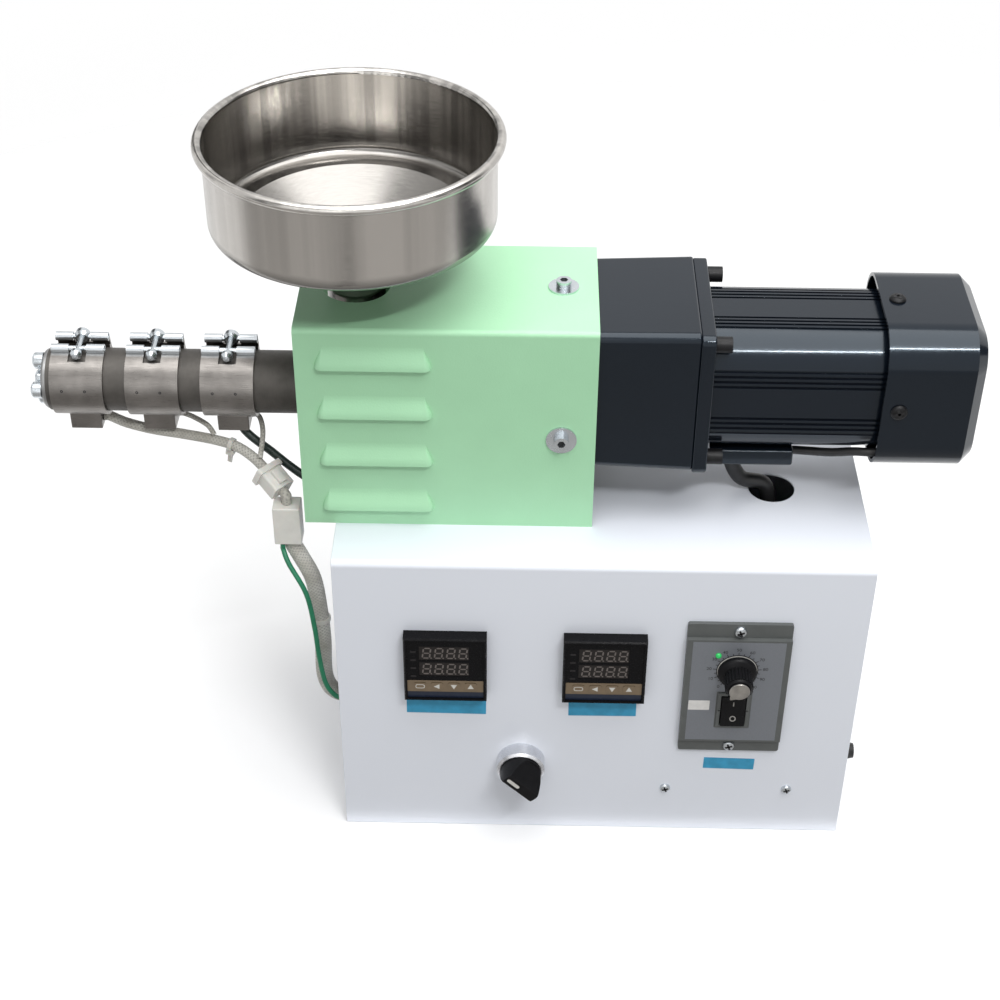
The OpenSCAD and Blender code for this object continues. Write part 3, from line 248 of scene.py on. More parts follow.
class Finish(Tree):
    """A new material, its shader and the patterns that the finishes share."""

    def __init__(self, name, base, rough, metal=0.0, **sockets):
        self.material = bpy.data.materials.new(name)
        super().__init__(self.material)
        self.shader = self.nodes["Principled BSDF"]
        self.base = self.tone = (*base, 1)
        self.material.diffuse_color = self.base
        self.feed(self.shader, Base_Color=self.base, Roughness=rough, Metallic=metal, **sockets)

    def spot(self, kind="Object"):
        """Coordinates on the surface."""
        return self.node("TexCoord").outputs[kind]

    def rise(self):
        """Height on the surface."""
        return self.vector("DOT_PRODUCT", self.spot(), (0, 0, 1))

    def noise(self, grain, detail=2.0, stretch=(1, 1, 1), spots=None):
        """Cloudy noise with grains of about that many metres, finer along an axis with a larger stretch."""
        mapping = self.node("Mapping", Vector=spots or self.spot(), Scale=stretch)
        texture = self.node("TexNoise", Vector=mapping.outputs["Vector"], Scale=1 / grain, Detail=detail)
        return texture.outputs["Fac"]

    def shade(self, depth):
        """The base colour, darkened by a depth from 0 to 1."""
        return (*(part * (1 - depth) for part in self.base[:3]), 1)

    def toned(self, share, first, second):
        """Gives the shader a colour from first to second by a share."""
        self.tone = self.blended(share, first, second)
        self.feed(self.shader, Base_Color=self.tone)

    def clouded(self, grain, depth):
        """Gives the base colour soft clouds that are darker by a depth."""
        self.toned(self.spread(self.noise(grain, 4), 0, 1), self.base, self.shade(depth))

    def streaked(self, axis, floor, inside, outside):
        """Paints reflections and shade on a turned form: dark streaks up its wall, by a depth for each side, darker
        where it faces left and right, and a painted shade along its floor.
        """
        width, painted_streak_depth, painted_side_depth, painted_floor_depth = 1 / 8, 0.7, 0.35, 0.64
        flat = self.vector("MULTIPLY", self.vector("SUBTRACT", self.spot(), axis), (1, 1, 0))
        out = self.vector("NORMALIZE", flat)
        # Painted reflections: dark streaks that follow the direction round the axis.
        streaks = self.spread(self.noise(width, 3, spots=out), 0, painted_streak_depth, 0.40, 0.60)
        # Painted shade: the wall is darker where it faces left and right.
        across = self.vector("DOT_PRODUCT", self.vector("ABSOLUTE", out), (1, 0, 0))
        share = self.joined("ADD", self.spread(across, 0, painted_side_depth, 0.25, 0.85), streaks)
        facing_out = self.vector("DOT_PRODUCT", out, self.node("NewGeometry").outputs["Normal"])
        wall = self.joined("MULTIPLY", share, self.spread(facing_out, inside, outside, -0.1, 0.3))
        # Painted shade on the floor of the bowl, darkest at the bottom.
        lower = self.spread(self.rise(), painted_floor_depth, 0, floor + 2 * MM, floor + 8 * MM)
        self.toned(self.joined("MAXIMUM", wall, lower), self.base, self.shade(1))

    def cleared(self, share):
        """Lets a share of the light straight through."""
        mix = self.node("MixShader", Fac=share)
        self.link(self.shader.outputs["BSDF"], mix.inputs[1])
        self.link(self.node("BsdfTransparent").outputs["BSDF"], mix.inputs[2])
        self.link(mix.outputs["Shader"], self.nodes["Material Output"].inputs["Surface"])

    def bumps(self, value, height):
        """Raises the surface by a value of that height in metres, on top of other bumps."""
        bump = self.node("Bump", Height=value, Distance=height)
        normal = self.shader.inputs["Normal"]
        if normal.is_linked:
            self.link(normal.links[0].from_socket, bump.inputs["Normal"])
        self.link(bump.outputs["Normal"], normal)


def plain(base, rough, clouds=None, grain=None, relief=0, bumps=None, metal=0.0, shine=0.5, **sockets):
    """Maker of a finish with soft clouds (size, depth), a grain (size, least and most roughness) that may stand out by
    a relief, and bumps (size, height). A noise's detail and stretch may follow in a grain and in bumps. Sizes are in
    millimetres. The base is a colour or the name of a setting."""
    def make(name):
        tone = getattr(settings().colours, base) if isinstance(base, str) else base
        f = Finish(name, tone, rough, metal, Specular_IOR_Level=shine, **sockets)
        if clouds:
            f.clouded(clouds[0] * MM, clouds[1])
        if grain:
            size, low, high, *form = grain
            marks = f.noise(size * MM, *form)
            f.feed(f.shader, Roughness=f.spread(marks, low, high))
            if relief:
                f.bumps(marks, relief * MM)
        if bumps:
            size, height, *form = bumps
            f.bumps(f.noise(size * MM, *form), height * MM)
        return f
    return make


def polished_steel(name):
    """Polished sheet whose spinning marks draw its reflections out up and down, with reflections and shade painted into
    its colour.
    """
    sheet = plain(name, 0.2, None, (6, 0.16, 0.26, 3, (1, 1, 14)), bumps=(9, 0.03), metal=1, Anisotropic=0.8)
    f, wall_h = sheet(name), 50 * MM
    # Reflections and shade painted into the colour: dark streaks, darker sides and a shaded floor.
    f.streaked(middle("hopper_bowl"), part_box("hopper_bowl")[1].z - wall_h, inside=0.56, outside=0.2)
    spin = given(f.node("Tangent"), direction_type="RADIAL", axis="Z")
    f.feed(f.shader, Tangent=spin.outputs["Tangent"])
    return f


def band_steel(name):
    """Brushed stainless sheath, toned by heat but bright on the rolled ends."""
    f = plain(name, 0.34, (12, 0.30), (1.2, 0.24, 0.46, 3, (0.12, 4, 4)), 0.02, (7, 0.12, 1), metal=1)(name)
    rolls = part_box(BAND_NODES[0])[1].z
    share = f.spread(f.rise(), 0, 0.8, rolls - 5 * MM, rolls - 3.5 * MM)
    f.toned(share, f.tone, (*settings().colours.zinc_plate, 1))
    return f


def glass_sleeve(name):
    """Braided glass fibre sleeve: strands that cross both ways round."""
    f = plain("sleeve", 0.7, Sheen_Weight=0.25)(name)
    strands = []
    for lean in (38, -38):
        turned_spots = f.node("Mapping", Vector=f.spot("UV"), Rotation=(0, 0, math.radians(lean)))
        wave = f.node("TexWave", Vector=turned_spots.outputs["Vector"], Scale=190, Distortion=0.6)
        strands.append(wave.outputs["Fac"])
    braid = f.joined("MULTIPLY", *strands)
    stain = f.blended(f.spread(f.noise(9 * MM, 3), 0, 1), f.base, (0.40, 0.38, 0.33, 1))
    f.toned(braid, stain, f.shade(0.45))
    f.bumps(braid, 0.25 * MM)
    return f


FINISHES = {
    "polished_steel": polished_steel,
    "band_steel": band_steel,
    "glass_sleeve": glass_sleeve,
    # Powder coats and enamel with an orange peel
    "white_coat": plain("white_coat", 0.28, (150, 0.012), (90, 0.28, 0.31, 1), bumps=(2, 0.008, 1), Coat_Weight=0.25,
                        Coat_Roughness=0.12),
    "green_coat": plain("green_coat", 0.5, (40, 0.05), (2, 0.42, 0.58), bumps=(0.9, 0.09, 4), Coat_Weight=0.25,
                        Coat_Roughness=0.3),
    "slate_enamel": plain("slate_enamel", 0.2, (60, 0.12), (15, 0.15, 0.21), bumps=(3.2, 0.03, 1), shine=0.26,
                          Specular_Tint=(0.7, 0.86, 1, 1), Coat_Weight=0.26, Coat_Roughness=0.07),
    # Metals: turned, plated, milled, blackened, satin and spun
    "barrel_steel": plain("barrel_steel", 0.5, (9, 0.28), (0.5, 0.42, 0.62, 2, (3, 0.15, 0.15)), relief=0.03,
                          metal=0.55),
    "zinc_plate": plain("zinc_plate", 0.24, (7, 0.14), (5, 0.20, 0.30), metal=1),
    "machined_steel": plain((0.36, 0.36, 0.36), 0.42, (18, 0.25), (1, 0.34, 0.52, 2, (0.2, 3, 1)), relief=0.02,
                            metal=1),
    "black_oxide": plain((0.008, 0.008, 0.009), 0.42, (3, 0.4), (1, 0.34, 0.55), shine=0.25),
    "satin_chrome": plain((0.74, 0.75, 0.78), 0.28, (6, 0.10), (0.8, 0.22, 0.36, 2, (1, 6, 1)), metal=1),
    "cap_silver": plain((0.46, 0.44, 0.41), 0.36, (5, 0.3), (0.7, 0.30, 0.44, 2, (6, 1, 1)), metal=1),
    # Near-black finish of the pieces that stand for screw recesses, sockets and dimples: painted shade.
    "socket_dark": plain((0.03, 0.03, 0.032), 0.6, (0.8, 0.4), metal=0.5),
    # Plastics and cable jackets
    "moulded_black": plain((0.006, 0.006, 0.007), 0.36, (5, 0.3), (0.7, 0.30, 0.48), bumps=(0.45, 0.015), shine=0.16),
    "frame_olive": plain("frame_olive", 0.5, (8, 0.12), bumps=(0.6, 0.02)),
    "black_cable": plain((0.014, 0.014, 0.015), 0.45, (10, 0.3), (2, 0.38, 0.55)),
    # Near-black green of the lead into the cover: a green lead with shade partly painted into its colour.
    "dark_sleeve": plain((0.010, 0.026, 0.020), 0.4, (10, 0.3), (2, 0.34, 0.5)),
    "white_plastic": plain((0.76, 0.75, 0.70), 0.42, (8, 0.08), (2, 0.36, 0.52), Subsurface_Weight=0.1,
                           Subsurface_Scale=2 * MM),
    "tie_nylon": plain((0.66, 0.65, 0.60), 0.35, (3, 0.1), Subsurface_Weight=0.2, Subsurface_Scale=1 * MM),
    "earth_green": plain("earth_green", 0.35, (12, 0.25), (3, 0.28, 0.42)),
    # Instrument fronts, keys, digits and the lit pilot lamp
    "face_grey": plain("face_grey", 0.38, (0.5, 0.14), (0.6, 0.32, 0.48), metal=0.25),
    "gloss_black": plain((0.005, 0.005, 0.006), 0.22, (4, 0.3), (3, 0.20, 0.30), shine=0.12),
    "display_glass": plain((0.030, 0.028, 0.029), 0.2, (3, 0.2), (4, 0.16, 0.28), shine=0.2),
    "smoked_window": plain((0.024, 0.021, 0.02), 0.4, (4, 0.15), shine=0.15),
    "dim_digit": plain((0.17, 0.15, 0.14), 0.4, (1.5, 0.18), shine=0.2),
    "key_tan": plain("strip_tan", 0.36, (5, 0.14), bumps=(0.4, 0.01)),
    "strip_navy": plain("strip_navy", 0.32, (4, 0.2)),
    "lamp_green": plain((0.02, 0.42, 0.10), 0.2, (1, 0.5), Emission_Color=(0.03, 0.7, 0.14, 1), Emission_Strength=0.35),
    # Paper and ink
    "label_paper": plain("label_blue", 0.6, (6, 0.22), bumps=(0.4, 0.02, 3)),
    "sticker_white": plain((0.74, 0.73, 0.71), 0.6, (3, 0.10), bumps=(0.5, 0.015, 3)),
    "print_white": plain((0.68, 0.67, 0.63), 0.5, (0.8, 0.15)),
    "print_grey": plain((0.34, 0.33, 0.31), 0.5, (0.8, 0.3)),
    "print_black": plain((0.012, 0.012, 0.013), 0.45, (0.8, 0.4)),
}
# Slots whose finish has another name
FINISH_OF_SLOT = {"slate_paint": "slate_enamel", "chrome_ring": "satin_chrome", "instrument_black": "moulded_black",
                  "instrument_grey": "frame_olive", "black_rubber": "black_cable"}
made_finishes = {}


def finish(name):
    """The material of a finish, made once."""
    if name not in made_finishes:
        made_finishes[name] = FINISHES[name](name).material
    return made_finishes[name]


# Solids that stay


def look_of(node):
    """Name of the finish that a solid's slot asks for."""
    return FINISH_OF_SLOT.get(SLOT_OF[node], SLOT_OF[node])


def dress(*nodes, edge=None, look=None):
    """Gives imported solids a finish, or else the one of their slot, and rounds their sharp edges."""
    for node in nodes:
        solid = SOLIDS[node]
        solid.data.materials.clear()
        solid.data.materials.append(finish(look or look_of(node)))
        if edge:
            round_edges(solid, edge)


def join_flats(solid):
    """Welds a solid's facets, joins the flat ones and drops the normals that came with them."""
    for layer in ("custom_normal", "sharp_edge", "sharp_face"):
        if layer in solid.data.attributes:
            solid.data.attributes.remove(solid.data.attributes[layer])
    solid.data.shade_smooth()
    given(solid.modifiers.new("weld", "WELD"), merge_threshold=WELD_GAP)
    given(solid.modifiers.new("flat", "DECIMATE"), decimate_type="DISSOLVE", angle_limit=FLAT_BEND)


def blend_faces(solid):
    """Lets the gentle bends between a solid's faces catch the light as one."""
    join_flats(solid)
    given(solid.modifiers.new("split", "EDGE_SPLIT"), split_angle=COVER_BEND)
    given(solid.modifiers.new("light", "WEIGHTED_NORMAL"), weight=100)


def round_edges(solid, width):
    """Rounds what is sharp on a solid."""
    join_flats(solid)
    given(solid.modifiers.new("rounding", "BEVEL"), width=width, segments=2, limit_method="ANGLE",
          angle_limit=SHARP_BEND)
    given(solid.modifiers.new("light", "WEIGHTED_NORMAL"), weight=60)


# Pieces that are added


def add_object(name, data):
    """Adds an object to the scene."""
    thing = bpy.data.objects.new(name, data)
    bpy.context.scene.collection.objects.link(thing)
    return thing


def mesh_of(name, form, material):
    """Turns a form into a mesh of one material."""
    mesh = bpy.data.meshes.new(name)
    form.to_mesh(mesh)
    form.free()
    mesh.materials.append(material)
    return mesh


def add_piece(name, form, look, body=MACHINE):
    """Turns a form into a piece that rides on a body."""
    bmesh.ops.recalc_face_normals(form, faces=form.faces)
    mesh = mesh_of(name, form, finish(look))
    mesh.shade_smooth()
    mesh.set_sharp_from_angle(angle=PIECE_BEND)
    piece = add_object(name, mesh)
    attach(piece, body)
    return piece


def on_panel(x, y, z):
    """Place for forms in millimetres: X to the right, Y up and Z out of the front panel."""
    return Matrix(((1, 0, 0, x), (0, 0, -1, y), (0, 1, 0, z), (0, 0, 0, 1))) @ Matrix.Scale(MM, 4)


def facing(place, direction, unit=MM):
    """Place whose Z runs along a direction, for forms in millimetres or in another unit."""
    turn = Vector(direction).to_track_quat("Z", "Y").to_matrix().to_4x4()
    return Matrix.Translation(place) @ turn @ Matrix.Scale(unit, 4)


def spun(place, degrees, axis="Z"):
    """Place turned about one of its axes."""
    return place @ Matrix.Rotation(math.radians(degrees), 4, axis)


def shifted(place, *step):
    """Place moved along its axes."""
    return place @ Matrix.Translation(step)


def circle(r, steps, at=(0, 0)):
    """Points round a circle."""
    return [(at[0] + r * math.cos(2 * math.pi * k / steps), at[1] + r * math.sin(2 * math.pi * k / steps))
            for k in range(steps)]


def rounded(w, h, r, at=(0, 0)):
    """Outline of a rectangle with round corners."""
    points, steps = [], 4
    for k, (sx, sy) in enumerate(((1, 1), (-1, 1), (-1, -1), (1, -1))):
        for s in range(steps + 1):
            a = math.pi / 2 * (k + s / steps)
            points.append((at[0] + sx * (w / 2 - r) + r * math.cos(a), at[1] + sy * (h / 2 - r) + r * math.sin(a)))
    return points


def loop_of(form, outline, rise, place):
    """Adds the corners of an outline at a rise."""
    return [form.verts.new(place @ Vector((x, y, rise))) for x, y in outline]


def wall(form, first, second):
    """Adds the faces between two loops, of which one may be a single corner."""
    for k in range(max(len(first), len(second))):
        corners = [loop[(k + step) % len(loop)] for loop, step in ((first, 0), (first, 1), (second, 1), (second, 0))]
        form.faces.new(list(dict.fromkeys(corners)))


def turned(form, profile, place, sides):
    """Adds a turned form: its profile is (radius, rise) pairs about the place's Z axis."""
    rings = [loop_of(form, circle(radius, sides) if radius else [(0, 0)], rise, place) for radius, rise in profile]
    for low, high in zip(rings, rings[1:]):
        wall(form, low, high)


def prism(form, outline, low, high, place):
    """Adds an upright form over an outline, from low to high."""
    foot, top = (loop_of(form, outline, rise, place) for rise in (low, high))
    wall(form, foot, top)
    form.faces.new(top)
    form.faces.new(foot[::-1])


def band_between(form, outer, inner, low, high, place):
    """Adds a frame between two outlines of as many points."""
    loops = [loop_of(form, line, rise, place)
             for line, rise in ((outer, low), (outer, high), (inner, high), (inner, low))]
    for first, second in zip(loops, loops[1:] + loops[:1]):
        wall(form, first, second)


def figures(form, words, height, place):
    """Adds flat figures, centred on a place."""
    line = given(bpy.data.curves.new("figures", "FONT"), body=words, size=height / FIGURE_SHARE, align_x="CENTER",
                 align_y="CENTER")
    holder = bpy.data.objects.new("figures", line)
    flat = holder.to_mesh()
    flat.transform(place)
    form.from_mesh(flat)
    holder.to_mesh_clear()
    bpy.data.objects.remove(holder)
    bpy.data.curves.remove(line)


def route(*stretches):
    """Smooth path through stretches of points, each given in millimetres from a place."""
    path, steps = [], 6
    points = [Vector(place) + Vector(spot) * MM for place, spots in stretches for spot in spots]
    ends = [points[0] * 2 - points[1], *points, points[-1] * 2 - points[-2]]
    for a, b, c, d in zip(ends, ends[1:], ends[2:], ends[3:]):
        for t in (s / steps for s in range(steps)):
            path.append(0.5 * (2 * b + (c - a) * t + (2 * a - 5 * b + 4 * c - d) * t ** 2
                               + (3 * b - a - 3 * c + d) * t ** 3))
    return path + [points[-1]]


def tube(form, path, width, sides=14):
    """Adds a round tube along a path, with UVs in metres along and round it."""
    uv = form.loops.layers.uv.verify()
    side = (path[1] - path[0]).orthogonal().normalized()
    rings, run, runs = [], 0.0, []
    for k, point in enumerate(path):
        along = (path[min(k + 1, len(path) - 1)] - path[max(k - 1, 0)]).normalized()
        side = (side - along * side.dot(along)).normalized()
        up = along.cross(side)
        rings.append([form.verts.new(point + x * side + y * up) for x, y in circle(width / 2, sides)])
        run += (point - path[max(k - 1, 0)]).length
        runs.append(run)
    around = math.pi * width / sides
    for k in range(len(rings) - 1):
        for i in range(sides):
            m = (i + 1) % sides
            face = form.faces.new((rings[k][i], rings[k][m], rings[k + 1][m], rings[k + 1][i]))
            spots = ((runs[k], i), (runs[k], i + 1), (runs[k + 1], i + 1), (runs[k + 1], i))
            for loop, (u, v) in zip(face.loops, spots):
                loop[uv].uv = (u, v * around)
    form.faces.new(rings[0][::-1])
    form.faces.new(rings[-1])


def pan_screws(name, places, width, rise, plating="zinc_plate"):
    """Adds pan heads whose undersides are at the places, each with its cross recess drawn as a dark cross: painted
    shade.
    """
    heads, recess_shade = bmesh.new(), bmesh.new()
    r = width / 2
    arm = 0.17 * r
    profile = [(0, 0), (r, 0), (r, 0.35 * rise), (0.86 * r, 0.72 * rise), (0.55 * r, 0.95 * rise), (0, rise)]
    for place in places:
        turned(heads, profile, place, 28)
        for turn in (20, 110):
            # The recess is a dark cross set into the head: painted shade.
            prism(recess_shade, rounded(1.25 * r, 2 * arm, 0.6 * arm), 0.8 * rise, 1.02 * rise, spun(place, turn))
    add_piece(name + "s", heads, plating)
    add_piece(name + "_recesses", recess_shade, "socket_dark")


# Operators


class EXTRUDER_OT_stage(bpy.types.Operator):
    """Camera, lamps, even light, floor and cards"""

    bl_idname = "extruder.stage"
    bl_label = "Stage"

    def execute(self, context):
        stage = settings().stage
        context.scene.view_settings.view_transform = "Standard"
        self.camera(context, stage)
        self.lamps(stage)
        self.sky(context, stage)
        self.floor(stage)
        self.cards(stage)
        return {"FINISHED"}

    def camera(self, context, stage):
        """Camera at the photograph's place."""
        data = given(bpy.data.cameras.new("camera"), lens=stage.lens, sensor_width=36, clip_end=50)
        camera = add_object("camera", data)
        place = Matrix.Translation(stage.camera_place)
        tilt = math.pi / 2 - stage.camera_down
        for turn, axis in ((stage.camera_aside, "Z"), (tilt, "X"), (stage.camera_roll, "Z")):
            place = place @ Matrix.Rotation(turn, 4, axis)
        camera.matrix_world = place
        context.scene.camera = camera

    def lamps(self, stage):
        """A wide soft lamp overhead, a weaker one in front and a strip that streaks the round corners."""
        aim = Vector((-0.05, 0, 0.22))
        lamps = (("top_lamp", (0.25, -0.15, 2.3), (2.2, 2.2), stage.top_power),
                 ("front_lamp", (-0.9, -2.5, 1.3), (1.6, 1.6), stage.front_power),
                 ("strip_lamp", (0.45, -1.15, 1.7), (0.55, 0.06), stage.strip_power))
        for name, place, (wide, high), power in lamps:
            data = given(bpy.data.lights.new(name, "AREA"), energy=power, shape="RECTANGLE", size=wide, size_y=high)
            add_object(name, data).matrix_world = facing(place, Vector(place) - aim, unit=1)

    def sky(self, context, stage):
        """Even light from all round, plain white where the camera or a mirror looks at it."""
        context.scene.world = bpy.data.worlds.new("sky")
        tree = Tree(context.scene.world)
        rays = tree.node("LightPath").outputs
        seen = tree.joined("MAXIMUM", rays["Is Camera Ray"], rays["Is Glossy Ray"])
        seen = tree.joined("MAXIMUM", seen, rays["Is Transmission Ray"])
        strength = tree.spread(seen, stage.sky, 1, start=0, end=1)
        tree.feed(tree.nodes["Background"], Color=(1, 1, 1, 1), Strength=strength)

    def floor(self, stage):
        """Pale floor that keeps the machine's shadow and fades into the white farther out."""
        pale = plain((0.95, 0.95, 0.95), 0.9, (400, 0.01), shine=0.1)("floor_pale")
        half, under = stage.floor_size / 2, 0.2 * MM
        share = pale.spread(pale.vector("LENGTH", pale.spot()), 0, 1, start=0.3 * half, end=half)
        share.node.interpolation_type = "SMOOTHSTEP"
        pale.cleared(share)
        form = bmesh.new()
        bmesh.ops.create_grid(form, x_segments=8, y_segments=8, size=half)
        self.prop("floor", form, pale).location.z = CAD_BOX[0].z - under

    def cards(self, stage):
        """Grey and dark cards that only the polished pieces see, clear from behind so that the floor stays lit."""
        grey, dark = bmesh.new(), bmesh.new()
        for form, x, y, rise, wide, deep in ((grey, 0, -0.755, 1, 2.4, 1.33), (dark, -0.165, -0.85, 3, 0.05, 0.9),
                                             (dark, -0.105, -0.85, 3, 0.03, 0.9)):
            self.card(form, Matrix.Translation((x, y, CAD_BOX[0].z + rise * MM)), wide, deep)
        reach, middle_z, high = 1.7, 1.15, 2.0
        upright = facing((reach, 0, middle_z), (-1, 0, 0), unit=1)
        for turn, wide in ((-150, 0.5), (-118, 0.16), (-62, 0.2), (-25, 0.45), (4, 0.9), (128, 0.4), (165, 0.2)):
            self.card(dark, Matrix.Rotation(math.radians(turn), 4, "Z") @ upright, wide, high)
        for name, form, look, tone in (("floor_card", grey, "card_grey", stage.card_grey),
                                       ("dark_cards", dark, "card_dark", stage.card_dark)):
            card = plain(tone, 0.9, (300, 0.1), shine=0.1)(look)
            card.cleared(card.node("NewGeometry").outputs["Backfacing"])
            self.prop(name, form, card).visible_camera = False

    def card(self, form, place, wide, high):
        """Adds one card that faces along the place's Z."""
        bmesh.ops.create_grid(form, x_segments=1, y_segments=1, size=0.5,
                              matrix=place @ Matrix.Diagonal((wide, high, 1, 1)))

    def prop(self, name, form, look):
        """One piece of the stage."""
        piece = add_object(name, mesh_of(name, form, look.material))
        return piece


class EXTRUDER_OT_cabinet(bpy.types.Operator):
    """White cabinet, its base, panel screws and bushes"""

    bl_idname = "extruder.cabinet"
    bl_label = "Cabinet"

    def execute(self, context):
        sizes = settings().sizes
        dress("cabinet_shell", "cabinet_base", edge=sizes.edge)
        dress("cabinet_left_side", "cabinet_right_side", "cord_gland", "harness_grommet")
        places = [on_panel(x * MM, PANEL_Y, z * MM) for x, z in ((44, 36), (118, 36.5))]
        pan_screws("panel_screw", places, sizes.panel_screw_d / MM, rise=2.2)
        return {"FINISHED"}


class EXTRUDER_OT_labels(bpy.types.Operator):
    """Bare paper labels under the instruments"""

    bl_idname = "extruder.labels"
    bl_label = "Labels"

    def execute(self, context):
        t, glue = settings().sizes.label_t / MM, 0.02
        for name, x, z, w, h, lean in (("left_label", -89, 103, 47, 15, -0.6), ("right_label", 3.2, 103, 40, 15, 0.5),
                                       ("speed_label", 81.3, 57.6, 30.6, 9, -1.2)):
            form = bmesh.new()
            place = spun(on_panel(x * MM, PANEL_Y, z * MM), lean)
            prism(form, rounded(w, h, 0.3), glue, glue + t, place)
            add_piece(name, form, "label_paper")
        return {"FINISHED"}


class EXTRUDER_OT_controllers(bpy.types.Operator):
    """Fronts of the two temperature controllers"""

    bl_idname = "extruder.controllers"
    bl_label = "Temperature controllers"

    def execute(self, context):
        for node in CONTROLLERS:
            dress(node, edge=0.3 * MM, look="gloss_black")
            side, centre, sunk = node.split("_")[0], middle(node), 1 * MM
            place = on_panel(centre.x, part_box(node)[0].y + sunk, centre.z)
            self.displays(side, place)
            self.strips(side, place)
        return {"FINISHED"}

    def displays(self, side, place):
        """Two display windows with their digits, and the lamp marks beside them."""
        windows, digits, marks = bmesh.new(), bmesh.new(), bmesh.new()
        foot, top, first_digit, digit_step, first_mark, mark_step = -0.6, -0.3, -10.6, 7, 13.5, 6.2
        for rise in (12.5, 0.4):
            prism(windows, rounded(28.8, 10.4, 0.3, (-0.6, rise)), foot, top, place)
            for k in range(4):
                self.digit(digits, shifted(place, first_digit + k * digit_step, rise, top))
        for k in range(4):
            mark = rounded(3.2, 1.2, 0.3, (-18.4, first_mark - k * mark_step))
            prism(marks, mark, 0, settings().sizes.label_t / MM, place)
        add_piece(side + "_windows", windows, "smoked_window")
        add_piece(side + "_digits", digits, "dim_digit")
        add_piece(side + "_lamp_marks", marks, "display_glass")

    def digit(self, form, place):
        """One figure of seven bars that lean a little, and its point."""
        h = settings().sizes.digit_h / MM
        x, y, b, gap, lean, thick = 0.28 * h, h / 2, 0.06 * h, 0.05 * h, 0.12, 0.04
        bars = [(gap - x, rise, x - gap, rise) for rise in (-y, 0, y)]
        bars += [(side, low + gap, side, high - gap) for side in (-x, x) for low, high in ((-y, 0), (0, y))]
        for x0, y0, x1, y1 in bars:
            u, v = (b, -b) if y0 == y1 else (-b, b)
            line = [(x0, y0), (x0 + b, y0 + b), (x1 - u, y1 - v), (x1, y1), (x1 - b, y1 - b), (x0 + u, y0 + v)]
            prism(form, [(p + lean * q, q) for p, q in line], 0, thick, place)
        prism(form, circle(1.1 * b, 10, (1.24 * x, -y)), 0, thick, place)

    def strips(self, side, place):
        """Tan key strip whose keys stand out a little, their signs, and the dark strip below."""
        t, ink, lift, sunk = settings().sizes.label_t / MM, 0.05, 0.4, -0.6
        tan, navy, signs = bmesh.new(), bmesh.new(), bmesh.new()
        wide, key_step, drop, top = 44.2, 9.8, -12.7, lift + t
        keys = [(k - 1.5) * key_step for k in range(4)]
        prism(tan, rounded(wide, 8.6, 0.3, (0, drop)), 0, t, place)
        for x in keys:
            prism(tan, rounded(7, 5.6, 1.2, (x, drop)), lift, top, place)
        prism(navy, rounded(wide, 5.4, 0.3, (0, -19.4)), sunk, sunk + t, place)
        r = 1.9
        arrow = [(r, 0), (-0.75 * r, 0.95 * r), (-0.75 * r, -0.95 * r)]
        for x, turn in zip(keys[1:], (180, -90, 90)):
            prism(signs, arrow, 0, ink, spun(shifted(place, x, drop, top), turn))
        at = (keys[0], drop)
        band_between(signs, rounded(5.4, 3, 1.2, at), rounded(4.6, 2.2, 0.9, at), top, top + ink, place)
        add_piece(side + "_key_strip", tan, "key_tan")
        add_piece(side + "_lower_strip", navy, "strip_navy")
        add_piece(side + "_key_signs", signs, "print_white")


